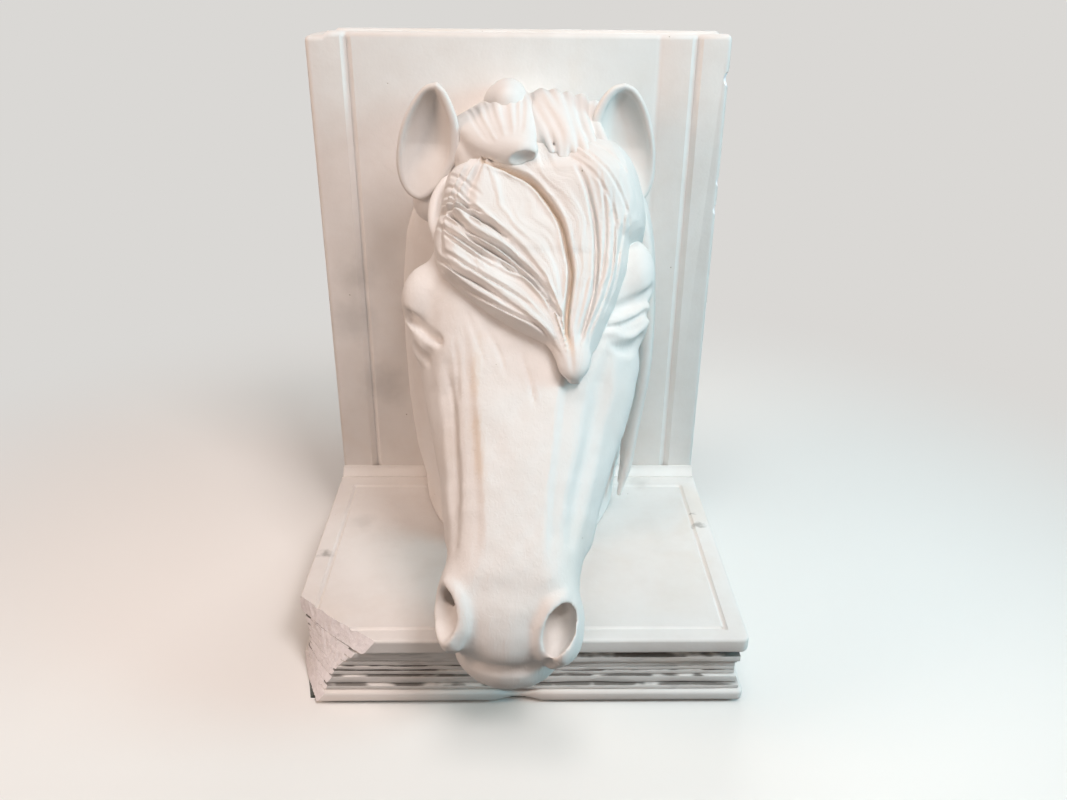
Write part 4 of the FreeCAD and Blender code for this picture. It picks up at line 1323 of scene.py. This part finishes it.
def addFloor():
    # a sheet of paper that sweeps up behind the book end
    bpy.ops.object.select_all(action="DESELECT")
    bpy.ops.mesh.primitive_plane_add(size=5, location=(0, 0, 0))
    floor = bpy.context.object
    floor.name = "studioFloor"
    for vertex in floor.data.vertices:
        vertex.select = vertex.co.y > 1
        if vertex.co.y > 1:
            vertex.co.y = studio["sweepFrom"]
    for edge in floor.data.edges:
        edge.select = all(floor.data.vertices[i].co.y > 1 for i in edge.vertices)
    floor.data.polygons[0].select = False
    bpy.ops.object.mode_set(mode="EDIT")
    for step in range(9):
        turn, far = math.radians(10 * step + 5), studio["sweepStep"]
        bpy.ops.mesh.extrude_region_move(TRANSFORM_OT_translate={"value": (0, far * math.cos(turn), far * math.sin(turn))})
    bpy.ops.mesh.extrude_region_move(TRANSFORM_OT_translate={"value": (0, 0, studio["wall"])})
    bpy.ops.object.mode_set(mode="OBJECT")
    bpy.ops.object.shade_smooth()
    material, tree, place = startMaterial("floorPaper")
    shader = tree.nodes["Principled BSDF"]
    seen = seenBy(tree)
    paper = addNode(tree, "Mix", {0: seen, 6: studio["bounce"], 7: studio["floor"]}, 2, data_type="RGBA")
    fill(shader, {"Base Color": paper, "Roughness": 0.9})
    # far from the book end the paper is an even pale grey to the eye and in reflections
    away = addNode(tree, "VectorMath", {0: place}, "Value", operation="LENGTH")
    near, far = studio["fade"]
    share = addNode(tree, "MapRange", {"Value": away, "From Min": near, "From Max": far},
                    interpolation_type="SMOOTHSTEP")
    share = addNode(tree, "Math", {0: share, 1: seen}, operation="MULTIPLY")
    glow = addNode(tree, "Emission", {"Color": studio["far"], "Strength": 1.0})
    both = addNode(tree, "MixShader", {0: share, 1: shader.outputs[0], 2: glow})
    fill(tree.nodes["Material Output"], {"Surface": both})
    floor.data.materials.append(material)


def addLamp(name, place, size, power, colour):
    data = bpy.data.lights.new(name, "AREA")
    data.shape = "RECTANGLE"
    data.size = data.size_y = size
    data.energy = power
    data.color = colour
    lamp = bpy.data.objects.new(name, data)
    bpy.context.collection.objects.link(lamp)
    lamp.location = place
    lamp.rotation_euler = (Vector(studio["aim"]) - Vector(place)).to_track_quat("-Z", "Y").to_euler()


cameraView = {
    "place": (-0.00035, -0.3028, 0.1754),  # from the foot of the cover
    "pitch": 25.39, "roll": 0.577, "yaw": -1.145, "lens": 29.94,
}


def addCamera():
    data = bpy.data.cameras.new("camera")
    data.lens = cameraView["lens"]
    data.sensor_width = 36.0
    data.clip_start = 0.01
    camera = bpy.data.objects.new("camera", data)
    bpy.context.collection.objects.link(camera)
    place = Vector(cameraView["place"]) + Vector((0, coverFace * mm, bookTop * mm))
    turn = (Matrix.Rotation(math.radians(cameraView["yaw"]), 4, "Z")
            @ Matrix.Rotation(math.radians(90 - cameraView["pitch"]), 4, "X")
            @ Matrix.Rotation(math.radians(cameraView["roll"]), 4, "Z"))
    camera.matrix_world = Matrix.Translation(place) @ turn
    bpy.context.scene.camera = camera


addFloor()
for name, settings in studio["lamps"].items():
    addLamp(name, *settings)
world = bpy.data.worlds.new("studio")
bpy.context.scene.world = world
world.use_nodes = True
# the world lights the object a little, and is the same pale grey as the paper to the eye and in reflections
light = world.node_tree.nodes["Background"]
fill(light, {"Color": (1, 1, 1, 1), "Strength": studio["world"]})
pale = addNode(world.node_tree, "Background", {"Color": studio["far"], "Strength": 1.0})
both = addNode(world.node_tree, "MixShader", {0: seenBy(world.node_tree), 1: light.outputs[0], 2: pale})
fill(world.node_tree.nodes["World Output"], {"Surface": both})
bpy.context.scene.view_settings.view_transform = "Standard"
addCamera()
print("camera set")
